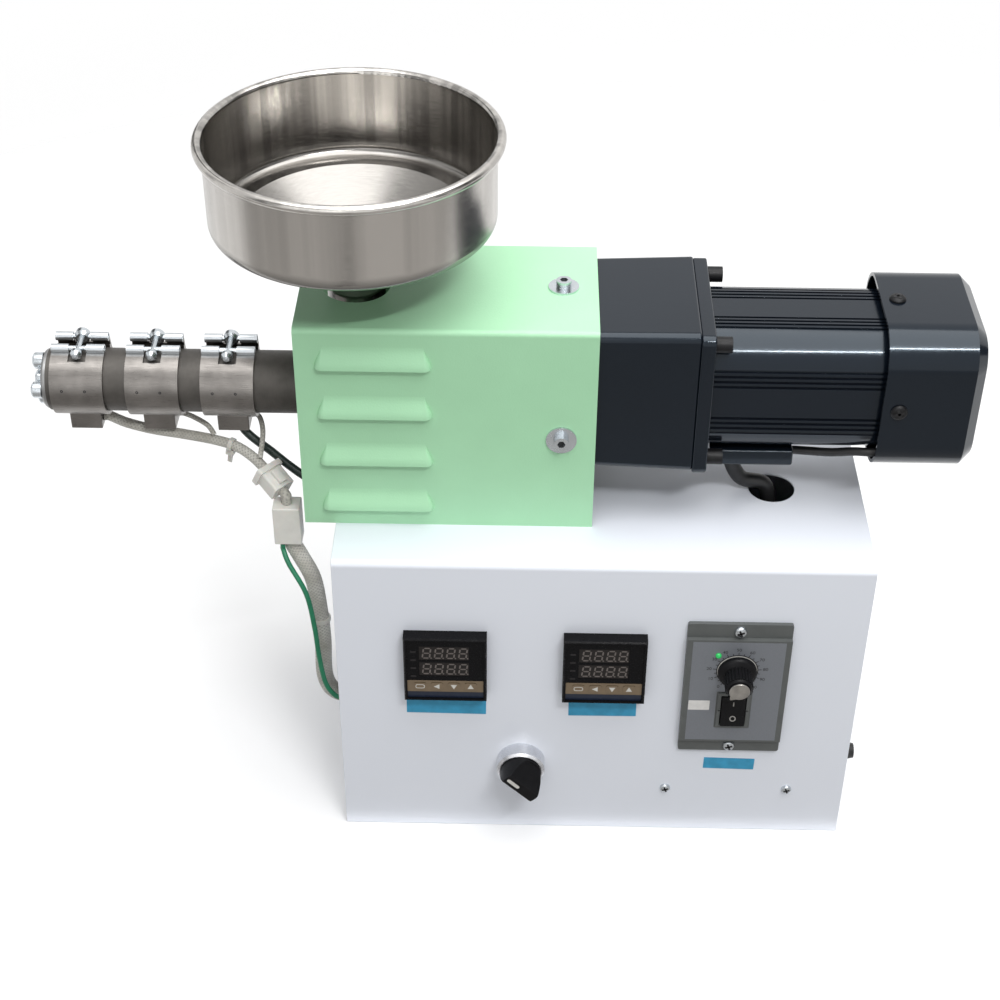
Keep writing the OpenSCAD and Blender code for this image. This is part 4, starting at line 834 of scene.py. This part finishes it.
class EXTRUDER_OT_speed_controller(bpy.types.Operator):
    """Face of the speed controller with its dial, lamp, sticker and screws"""

    bl_idname = "extruder.speed_controller"
    bl_label = "Speed controller"

    def execute(self, context):
        sizes = settings().sizes
        dress("speed_controller", edge=sizes.edge)
        self.axis, self.rocker = JOINT["speed_turn"]["pos_m"], JOINT["rocker_tilt"]["pos_m"]
        self.place = on_panel(self.axis[0], self.rocker[1], self.axis[2])
        self.low, self.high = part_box("speed_controller")
        self.t = sizes.label_t / MM
        self.face()
        self.dial(sizes)
        self.small_pieces(sizes)
        return {"FINISHED"}

    def face(self):
        """Grey printed face inside the moulded frame, cut out round the rocker."""
        tab, border, side, cut, cut_h = 10, 1.4, 3.36, 10.4, 14.4
        top = (self.high.z - self.axis[2]) / MM - tab - border
        bottom = (self.low.z - self.axis[2]) / MM + tab + border
        half = (self.high.x - self.low.x) / MM / 2 - side
        y = (self.rocker[2] - self.axis[2]) / MM
        low, high = y - cut_h, y + cut_h
        face = bmesh.new()
        for x0, x1, y0, y1 in ((-half, half, high, top), (-half, -cut, low, high), (cut, half, low, high),
                               (-half, half, bottom, low)):
            prism(face, [(x0, y0), (x1, y0), (x1, y1), (x0, y1)], 0, self.t, self.place)
        add_piece("speed_face", face, "face_grey")

    def dial(self, sizes):
        """Ring, ticks and numbers round the knob."""
        steps, r, squash = sizes.dial_steps, sizes.dial_r / MM, 1.02
        sweep = JOINT["speed_turn"]["range_deg"][1]
        ink, pale = bmesh.new(), bmesh.new()
        low, high = self.t, self.t + 0.06
        rim, inner, hub, long_tick, short_tick = 12.1, 11.5, 10.7, 14.0, 13.3
        for form, outer, hole in ((ink, rim, inner), (pale, inner, hub)):
            band_between(form, circle(outer, 64), circle(hole, 64), low, high, self.place)
        for k in range(steps * 2 + 1):
            reach = short_tick if k % 2 else long_tick
            tick = rounded(reach - rim, 0.4, 0.05, ((reach + rim) / 2, 0))
            prism(ink, tick, low, high, spun(self.place, DIAL_START - sweep * k / (steps * 2)))
        for k in range(steps + 1):
            a = math.radians(DIAL_START - sweep * k / steps)
            spot = shifted(self.place, squash * r * math.cos(a), r * math.sin(a), high)
            figures(ink, str(k * 100 // steps), sizes.number_h / MM, spot)
        add_piece("dial_print", ink, "print_black")
        add_piece("dial_ring", pale, "print_white")

    def small_pieces(self, sizes):
        """Lamp, sticker and plate screws."""
        lamp, sticker, t = bmesh.new(), bmesh.new(), self.t
        dome = [(0, 0), (1.7, 0), (1.7, 0.7), (1.3, 1.4), (0.6, 1.8), (0, 1.9)]
        turned(lamp, dome, shifted(self.place, -11.6, 11.8, t), 20)
        prism(sticker, rounded(12.4, 7.4, 0.3, (-20.2, -27.6)), t, 1.8 * t, self.place)
        add_piece("pilot_lamp", lamp, "lamp_green")
        add_piece("face_sticker", sticker, "sticker_white")
        tab_y, inset = PANEL_Y - 2.4 * MM, 5 * MM
        places = [on_panel(self.axis[0], tab_y, z) for z in (self.low.z + inset, self.high.z - inset)]
        pan_screws("plate_screw", places, sizes.plate_screw_d / MM, rise=2.6)


class EXTRUDER_OT_knob(bpy.types.Operator):
    """Speed knob with its silver cap and pointer"""

    bl_idname = "extruder.knob"
    bl_label = "Speed knob"

    def execute(self, context):
        dress("speed_knob", edge=0.25 * MM)
        x, _, z = JOINT["speed_turn"]["pos_m"]
        place = on_panel(x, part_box("speed_knob")[0].y, z)
        form = bmesh.new()
        r, t, tip = 5.9, 0.25, 0.3
        turned(form, [(0, 0), (r, 0), (r, t), (r - t, 2 * t), (0, 2 * t)], place, 40)
        pointer = [(0.9 * r, 0.4 * r), (1.35 * r, tip), (1.35 * r, -tip), (0.9 * r, -0.4 * r)]
        prism(form, pointer, 0, t, spun(place, DIAL_START))
        add_piece("speed_knob_cap", form, "cap_silver", "speed_knob")
        return {"FINISHED"}


class EXTRUDER_OT_switches(bpy.types.Operator):
    """Rocker with its signs, and the selector with its ring"""

    bl_idname = "extruder.switches"
    bl_label = "Switches"

    def execute(self, context):
        dress("power_rocker", edge=0.4 * MM)
        dress("selector_knob", edge=0.7 * MM)
        dress("selector_ring")
        self.rocker_signs()
        self.selector_bar()
        return {"FINISHED"}

    def rocker_signs(self):
        """Bar and ring on the rocker's two halves."""
        lean = JOINT["rocker_tilt"]["range_deg"][1] / 2
        face = spun(on_panel(*JOINT["rocker_tilt"]["pos_m"]), -lean, "X")
        signs = bmesh.new()
        rise, out, ink, slope = 5.2, 1.85, 0.08, math.degrees(math.atan2(1.2, 10.5))
        prism(signs, rounded(0.7, 3.2, 0.2), 0, ink, spun(shifted(face, 0, rise, out), slope, "X"))
        band_between(signs, circle(1.9, 24), circle(1.25, 24), 0, ink, spun(shifted(face, 0, -rise, out), -slope, "X"))
        add_piece("rocker_signs", signs, "print_grey", "power_rocker")

    def selector_bar(self):
        """White bar on the upper end of the lever."""
        (x, _, z), lever = JOINT["selector_turn"]["pos_m"], 135
        place = spun(on_panel(x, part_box("selector_knob")[0].y, z), lever)
        bar = bmesh.new()
        prism(bar, rounded(9.5, 2.2, 1, (6, 0)), 0, 0.12, place)
        add_piece("selector_bar", bar, "print_white", "selector_knob")


class EXTRUDER_OT_cover(bpy.types.Operator):
    """Mint cover, its screws and the pieces inside it"""

    bl_idname = "extruder.cover"
    bl_label = "Cover"

    def execute(self, context):
        dress("cover")
        blend_faces(SOLIDS["cover"])
        dress("cover_screws", edge=0.25 * MM)
        self.sockets()
        dress("base_plate", "feed_block", "bearing_housing", "drive_coupling", "gearbox_upright", edge=0.6 * MM)
        return {"FINISHED"}

    def sockets(self):
        """Dark discs at the bottoms of the socket screws, on top of the cover and on its front: painted shade in the
        sockets.
        """
        low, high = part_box("cover_screws")
        x, washer_r = (low.x + high.x) / 2, high.y
        r, foot, top = 2.1, -2.4, -2.2
        form = bmesh.new()
        for spot, out in (((x, 0, high.z), (0, 0, 1)), ((x, low.y, low.z + washer_r), (0, -1, 0))):
            turned(form, [(0, foot), (r, foot), (r, top), (0, top)], facing(spot, out), 18)
        add_piece("cover_screw_sockets", form, "socket_dark")


class EXTRUDER_OT_hopper(bpy.types.Operator):
    """Polished hopper and its neck"""

    bl_idname = "extruder.hopper"
    bl_label = "Hopper"

    def execute(self, context):
        dress("hopper_bowl", "hopper_neck")
        return {"FINISHED"}


class EXTRUDER_OT_barrel(bpy.types.Operator):
    """Barrel, screw, die and nozzle"""

    bl_idname = "extruder.barrel"
    bl_label = "Barrel"

    def execute(self, context):
        dress("barrel", "extruder_screw")
        dress("die_plate", "die_bolts", "nozzle", edge=0.25 * MM)
        return {"FINISHED"}


class EXTRUDER_OT_heaters(bpy.types.Operator):
    """Heater bands with their dimples in painted shade, clamps and terminal boxes"""

    bl_idname = "extruder.heaters"
    bl_label = "Heater bands"

    def execute(self, context):
        for k, node in enumerate(BAND_NODES, 1):
            dress(node, f"band_clamp_{k}")
            dress(f"terminal_box_{k}", edge=0.5 * MM)
        self.dimples()
        return {"FINISHED"}

    def dimples(self):
        """Two small pressed dimples on the front of each band, drawn as dark spots: painted shade."""
        form = bmesh.new()
        lean, sunk = math.radians(12), 0.05 * MM
        out = Vector((0, -math.cos(lean), math.sin(lean)))
        profile = [(0.9, -0.1), (0.8, 0.12), (0.5, 0.1), (0, -0.05)]
        for node in BAND_NODES:
            r = -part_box(node)[0].y - sunk
            for x in (-8 * MM, 5 * MM):
                spot = Vector((middle(node).x + x, 0, middle("barrel").z)) + out * r
                turned(form, profile, facing(spot, out), 14)
        add_piece("band_dimples", form, "socket_dark")


class EXTRUDER_OT_drive(bpy.types.Operator):
    """Gearbox, ribbed motor, fan cap and their screws"""

    bl_idname = "extruder.drive"
    bl_label = "Gear motor"

    def execute(self, context):
        dress("gearbox", "motor_flange", edge=0.9 * MM)
        dress("motor_body", edge=0.3 * MM)
        dress("motor_terminal_box", edge=1.2 * MM)
        dress("fan_cap", edge=1.6 * MM)
        dress("flange_bolts", "cooling_fan", edge=0.3 * MM)
        self.cap_screws()
        return {"FINISHED"}

    def cap_screws(self):
        """Pan screws in the middle of each side of the fan cap."""
        low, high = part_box("fan_cap")
        centre, inset = middle("fan_cap"), 9 * MM
        axis, half = Vector((low.x + inset, centre.y, centre.z)), (high.z - low.z) / 2
        sides = [Vector((0, math.sin(a), math.cos(a))) for a in (math.pi / 2 * quarter for quarter in range(4))]
        pan_screws("cap_screw", [facing(axis + out * half, out) for out in sides], 9.2, 2.4, "black_oxide")


class EXTRUDER_OT_wiring(bpy.types.Operator):
    """Heater leads, harness, earth wire, motor leads, connector and ties"""

    bl_idname = "extruder.wiring"
    bl_label = "Wiring"

    def execute(self, context):
        dress("connector_block", edge=0.8 * MM)
        self.motor_leads()
        self.heater_leads()
        self.side_leads()
        return {"FINISHED"}

    def lead(self, name, path, width, node=None, sides=14, joined=()):
        """One lead along a path. It stands for a solid, or else it is a dark sleeve."""
        look, slot = (look_of(node), SLOT_OF[node]) if node else ("dark_sleeve", "black_rubber")
        form = bmesh.new()
        tube(form, path, width, sides)
        piece = add_piece(name, form, look)
        if node:
            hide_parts(node)

    def motor_leads(self):
        """Thick lead down into the cabinet, thin lead into the fan cap."""
        low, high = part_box("motor_terminal_box")
        foot = (low.x + 14.5 * MM, low.y + 21 * MM, low.z - LEAD_GAP)
        end = (high.x + LEAD_GAP, low.y + 10 * MM, low.z + 4 * MM)
        hole = (100 * MM, -7 * MM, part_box("cabinet_shell")[1].z)
        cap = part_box("fan_cap")[0] + Vector((0, 10.5, 9.8)) * MM
        path = route((foot, ((0, 0, 0), (0, 0, -3), (1, 0, -13), (8, 1, -25))),
                     (hole, ((-4.5, 0, 3), (-1, 0, -12), (0, 0, -32))))
        self.lead("motor_lead_jacket", path, 9 * MM, "motor_lead")
        path = route((end, ((0, 0, 0), (3, 0, 0), (9, -2, 1), (21, -6.5, 3.5), (33, -11, 7.5))),
                     (cap, ((-1.5, 0, 0), (9.5, -0.4, 0.5))))
        self.lead("fan_lead_jacket", path, 5 * MM, "fan_lead")

    def heater_leads(self):
        """Sleeved lead from the bands to the connector, a branch from each further band, and a lead into the cover."""
        centre = middle("connector_block")
        top = Vector((centre.x, centre.y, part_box("connector_block")[1].z + LEAD_GAP))
        boxes = [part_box(f"terminal_box_{k}") for k in (1, 2, 3)]
        starts = [(high.x + LEAD_GAP, 0, low.z + 4.25 * MM) for low, high in boxes]
        width = 6 * MM
        path = route((starts[0], ((0, 0, 0), (3, 0, -0.4), (12, 0, -5), (27, -1, -8.7), (44, -3, -10.2),
                                  (64, -7, -11.4), (78, -11, -13.7))),
                     (top, ((-17, 15, 17.7), (-7, 7, 9.7), (-0.4, 0.4, 5.5), (0, 0, 3), (0, 0, 0))))
        bends = (((0, 3, 0), (3, 3, 0), (9, 1, -1.2), (17.4, -4, -3.2), (21.4, -7, -7.7)),
                 ((0, 3, 0), (3, 3, 0), (5.5, -0.5, -1.5), (7.4, -9, -5.2), (6.3, -18.9, -15.2)))
        form = bmesh.new()
        for start, points in zip(starts[1:], bends):
            tube(form, route((start, points)), 3 * MM)
        joined = [add_piece("heater_branches", form, "glass_sleeve"), self.housing(top)]
        self.lead("heater_lead_sleeve", path, width, "heater_leads", joined=joined)
        self.tie("upper_tie", path, 0.52, width)
        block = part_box("feed_block")[0]
        under = (middle("terminal_box_3").x, 0, boxes[2][0].z)
        path = route(((block.x, 0, block.z), ((-0.4, -23, 5), (-8, -22.5, 5), (-14, -21, 5.5), (-24, -15, 9))),
                     (under, ((20.2, -8, -13.5), (10.2, -3, -8.5), (4.7, -1, -3.5), (4.2, -1, -0.4))))
        # This lead is near-black green where a green lead runs in shade: partly painted shade.
        self.lead("cover_lead", path, 5 * MM)

    def housing(self, top):
        """White plastic plug round the end of the sleeved lead."""
        place = facing(top + Vector((-7.5, 7.5, 10.5)) * MM, (16.6, -14.6, -12.2))
        form = bmesh.new()
        prism(form, rounded(14, 11, 1.5), -8, 8, place)
        prism(form, rounded(17, 13.5, 1.5), -8, -4.5, place)
        prism(form, rounded(5, 3, 0.5, (0, 6.5)), -3, 6, place)
        return add_piece("upper_plug", form, "white_plastic")

    def side_leads(self):
        """Harness and earth wire from the connector into the cabinet's left side."""
        centre, bush = middle("connector_block"), middle("harness_grommet")
        foot = (centre.x, centre.y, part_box("connector_block")[0].z - LEAD_GAP)
        side = Vector((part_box("cabinet_shell")[0].x, bush.y, bush.z))
        earth = side + Vector((0, -11.9, 6.7)) * MM
        width = 10 * MM
        path = route((foot, ((2, 0, 0), (2, 0, -2), (2, 0, -4), (6, -2, -11), (13, -6, -25), (16, -10, -45))),
                     (side, ((-12, 3.5, 42), (-12.3, 1, 24), (-11.6, 0, 13), (-8.6, 0, 4.6), (-4, 0, 0.6),
                             (0.5, 0, 0), (14, 0, 0))))
        self.lead("harness_sleeve", path, width, "heater_harness", 20)
        self.tie("lower_tie", path, 0.45, width)
        path = route((foot, ((-3.5, -4.7, 0), (-3.5, -4.7, -2), (-3.5, -4.7, -4), (0, -10, -11), (10, -18, -27),
                             (14, -22, -49))),
                     (earth, ((-13.5, 3.9, 29.5), (-10.5, 1.4, 11.5), (-5.5, 0.4, 2.5), (0.5, 0, 0),
                              (12.5, 0, -1))))
        self.lead("earth_wire_jacket", path, 3 * MM, "earth_wire", 12)

    def tie(self, name, path, share, width):
        """Nylon tie round a lead at a share of its way: strap, square head and cut tail."""
        k = int(share * (len(path) - 1))
        place = facing(path[k], path[k + 1] - path[k])
        form = bmesh.new()
        r, t, half = width / MM / 2 + 0.1, 0.9, 1.3
        turned(form, [(r, -half), (r + t, -half), (r + t, half), (r, half), (r, -half)], place, 24)
        prism(form, rounded(4.2, 4.2, 0.6, (0, -r - 2)), -2.2, 2.2, place)
        prism(form, rounded(1.2, 9, 0.3, (0.6, -r - 6)), -half, half, place)
        add_piece(name, form, "tie_nylon")


class EXTRUDER_PT_dressing(bpy.types.Panel):
    """Lists the settings and the steps of the dressing"""

    bl_idname = "EXTRUDER_PT_dressing"
    bl_label = "Extruder"
    bl_space_type = "VIEW_3D"
    bl_region_type = "UI"
    bl_category = "Extruder"

    def draw(self, context):
        for step in STEPS:
            self.layout.operator(step.bl_idname)
        for group in (settings().colours, settings().sizes, settings().stage):
            box = self.layout.box()
            for name in group.__annotations__:
                box.prop(group, name)


STEPS = (EXTRUDER_OT_stage, EXTRUDER_OT_wiring, EXTRUDER_OT_cabinet, EXTRUDER_OT_labels, EXTRUDER_OT_controllers,
         EXTRUDER_OT_speed_controller, EXTRUDER_OT_knob, EXTRUDER_OT_switches, EXTRUDER_OT_cover,
         EXTRUDER_OT_hopper, EXTRUDER_OT_barrel, EXTRUDER_OT_heaters, EXTRUDER_OT_drive)
CLASSES = (FinishColours, DetailSizes, StageSizes, ExtruderSettings, *STEPS, EXTRUDER_PT_dressing)


def register():
    """Makes the classes and the scene's settings known."""
    for kind in CLASSES:
        bpy.utils.register_class(kind)
    bpy.types.Scene.extruder = PointerProperty(type=ExtruderSettings)


def unregister():
    """Takes the settings and classes away again."""
    del bpy.types.Scene.extruder
    for kind in reversed(CLASSES):
        bpy.utils.unregister_class(kind)


def main():
    """Runs every step in order."""
    register()
    bpy.ops.extruder.stage()
    bpy.ops.extruder.wiring()
    bpy.ops.extruder.cabinet()
    bpy.ops.extruder.labels()
    bpy.ops.extruder.controllers()
    bpy.ops.extruder.speed_controller()
    bpy.ops.extruder.knob()
    bpy.ops.extruder.switches()
    bpy.ops.extruder.cover()
    bpy.ops.extruder.hopper()
    bpy.ops.extruder.barrel()
    bpy.ops.extruder.heaters()
    bpy.ops.extruder.drive()


if __name__ == "__main__":
    main()
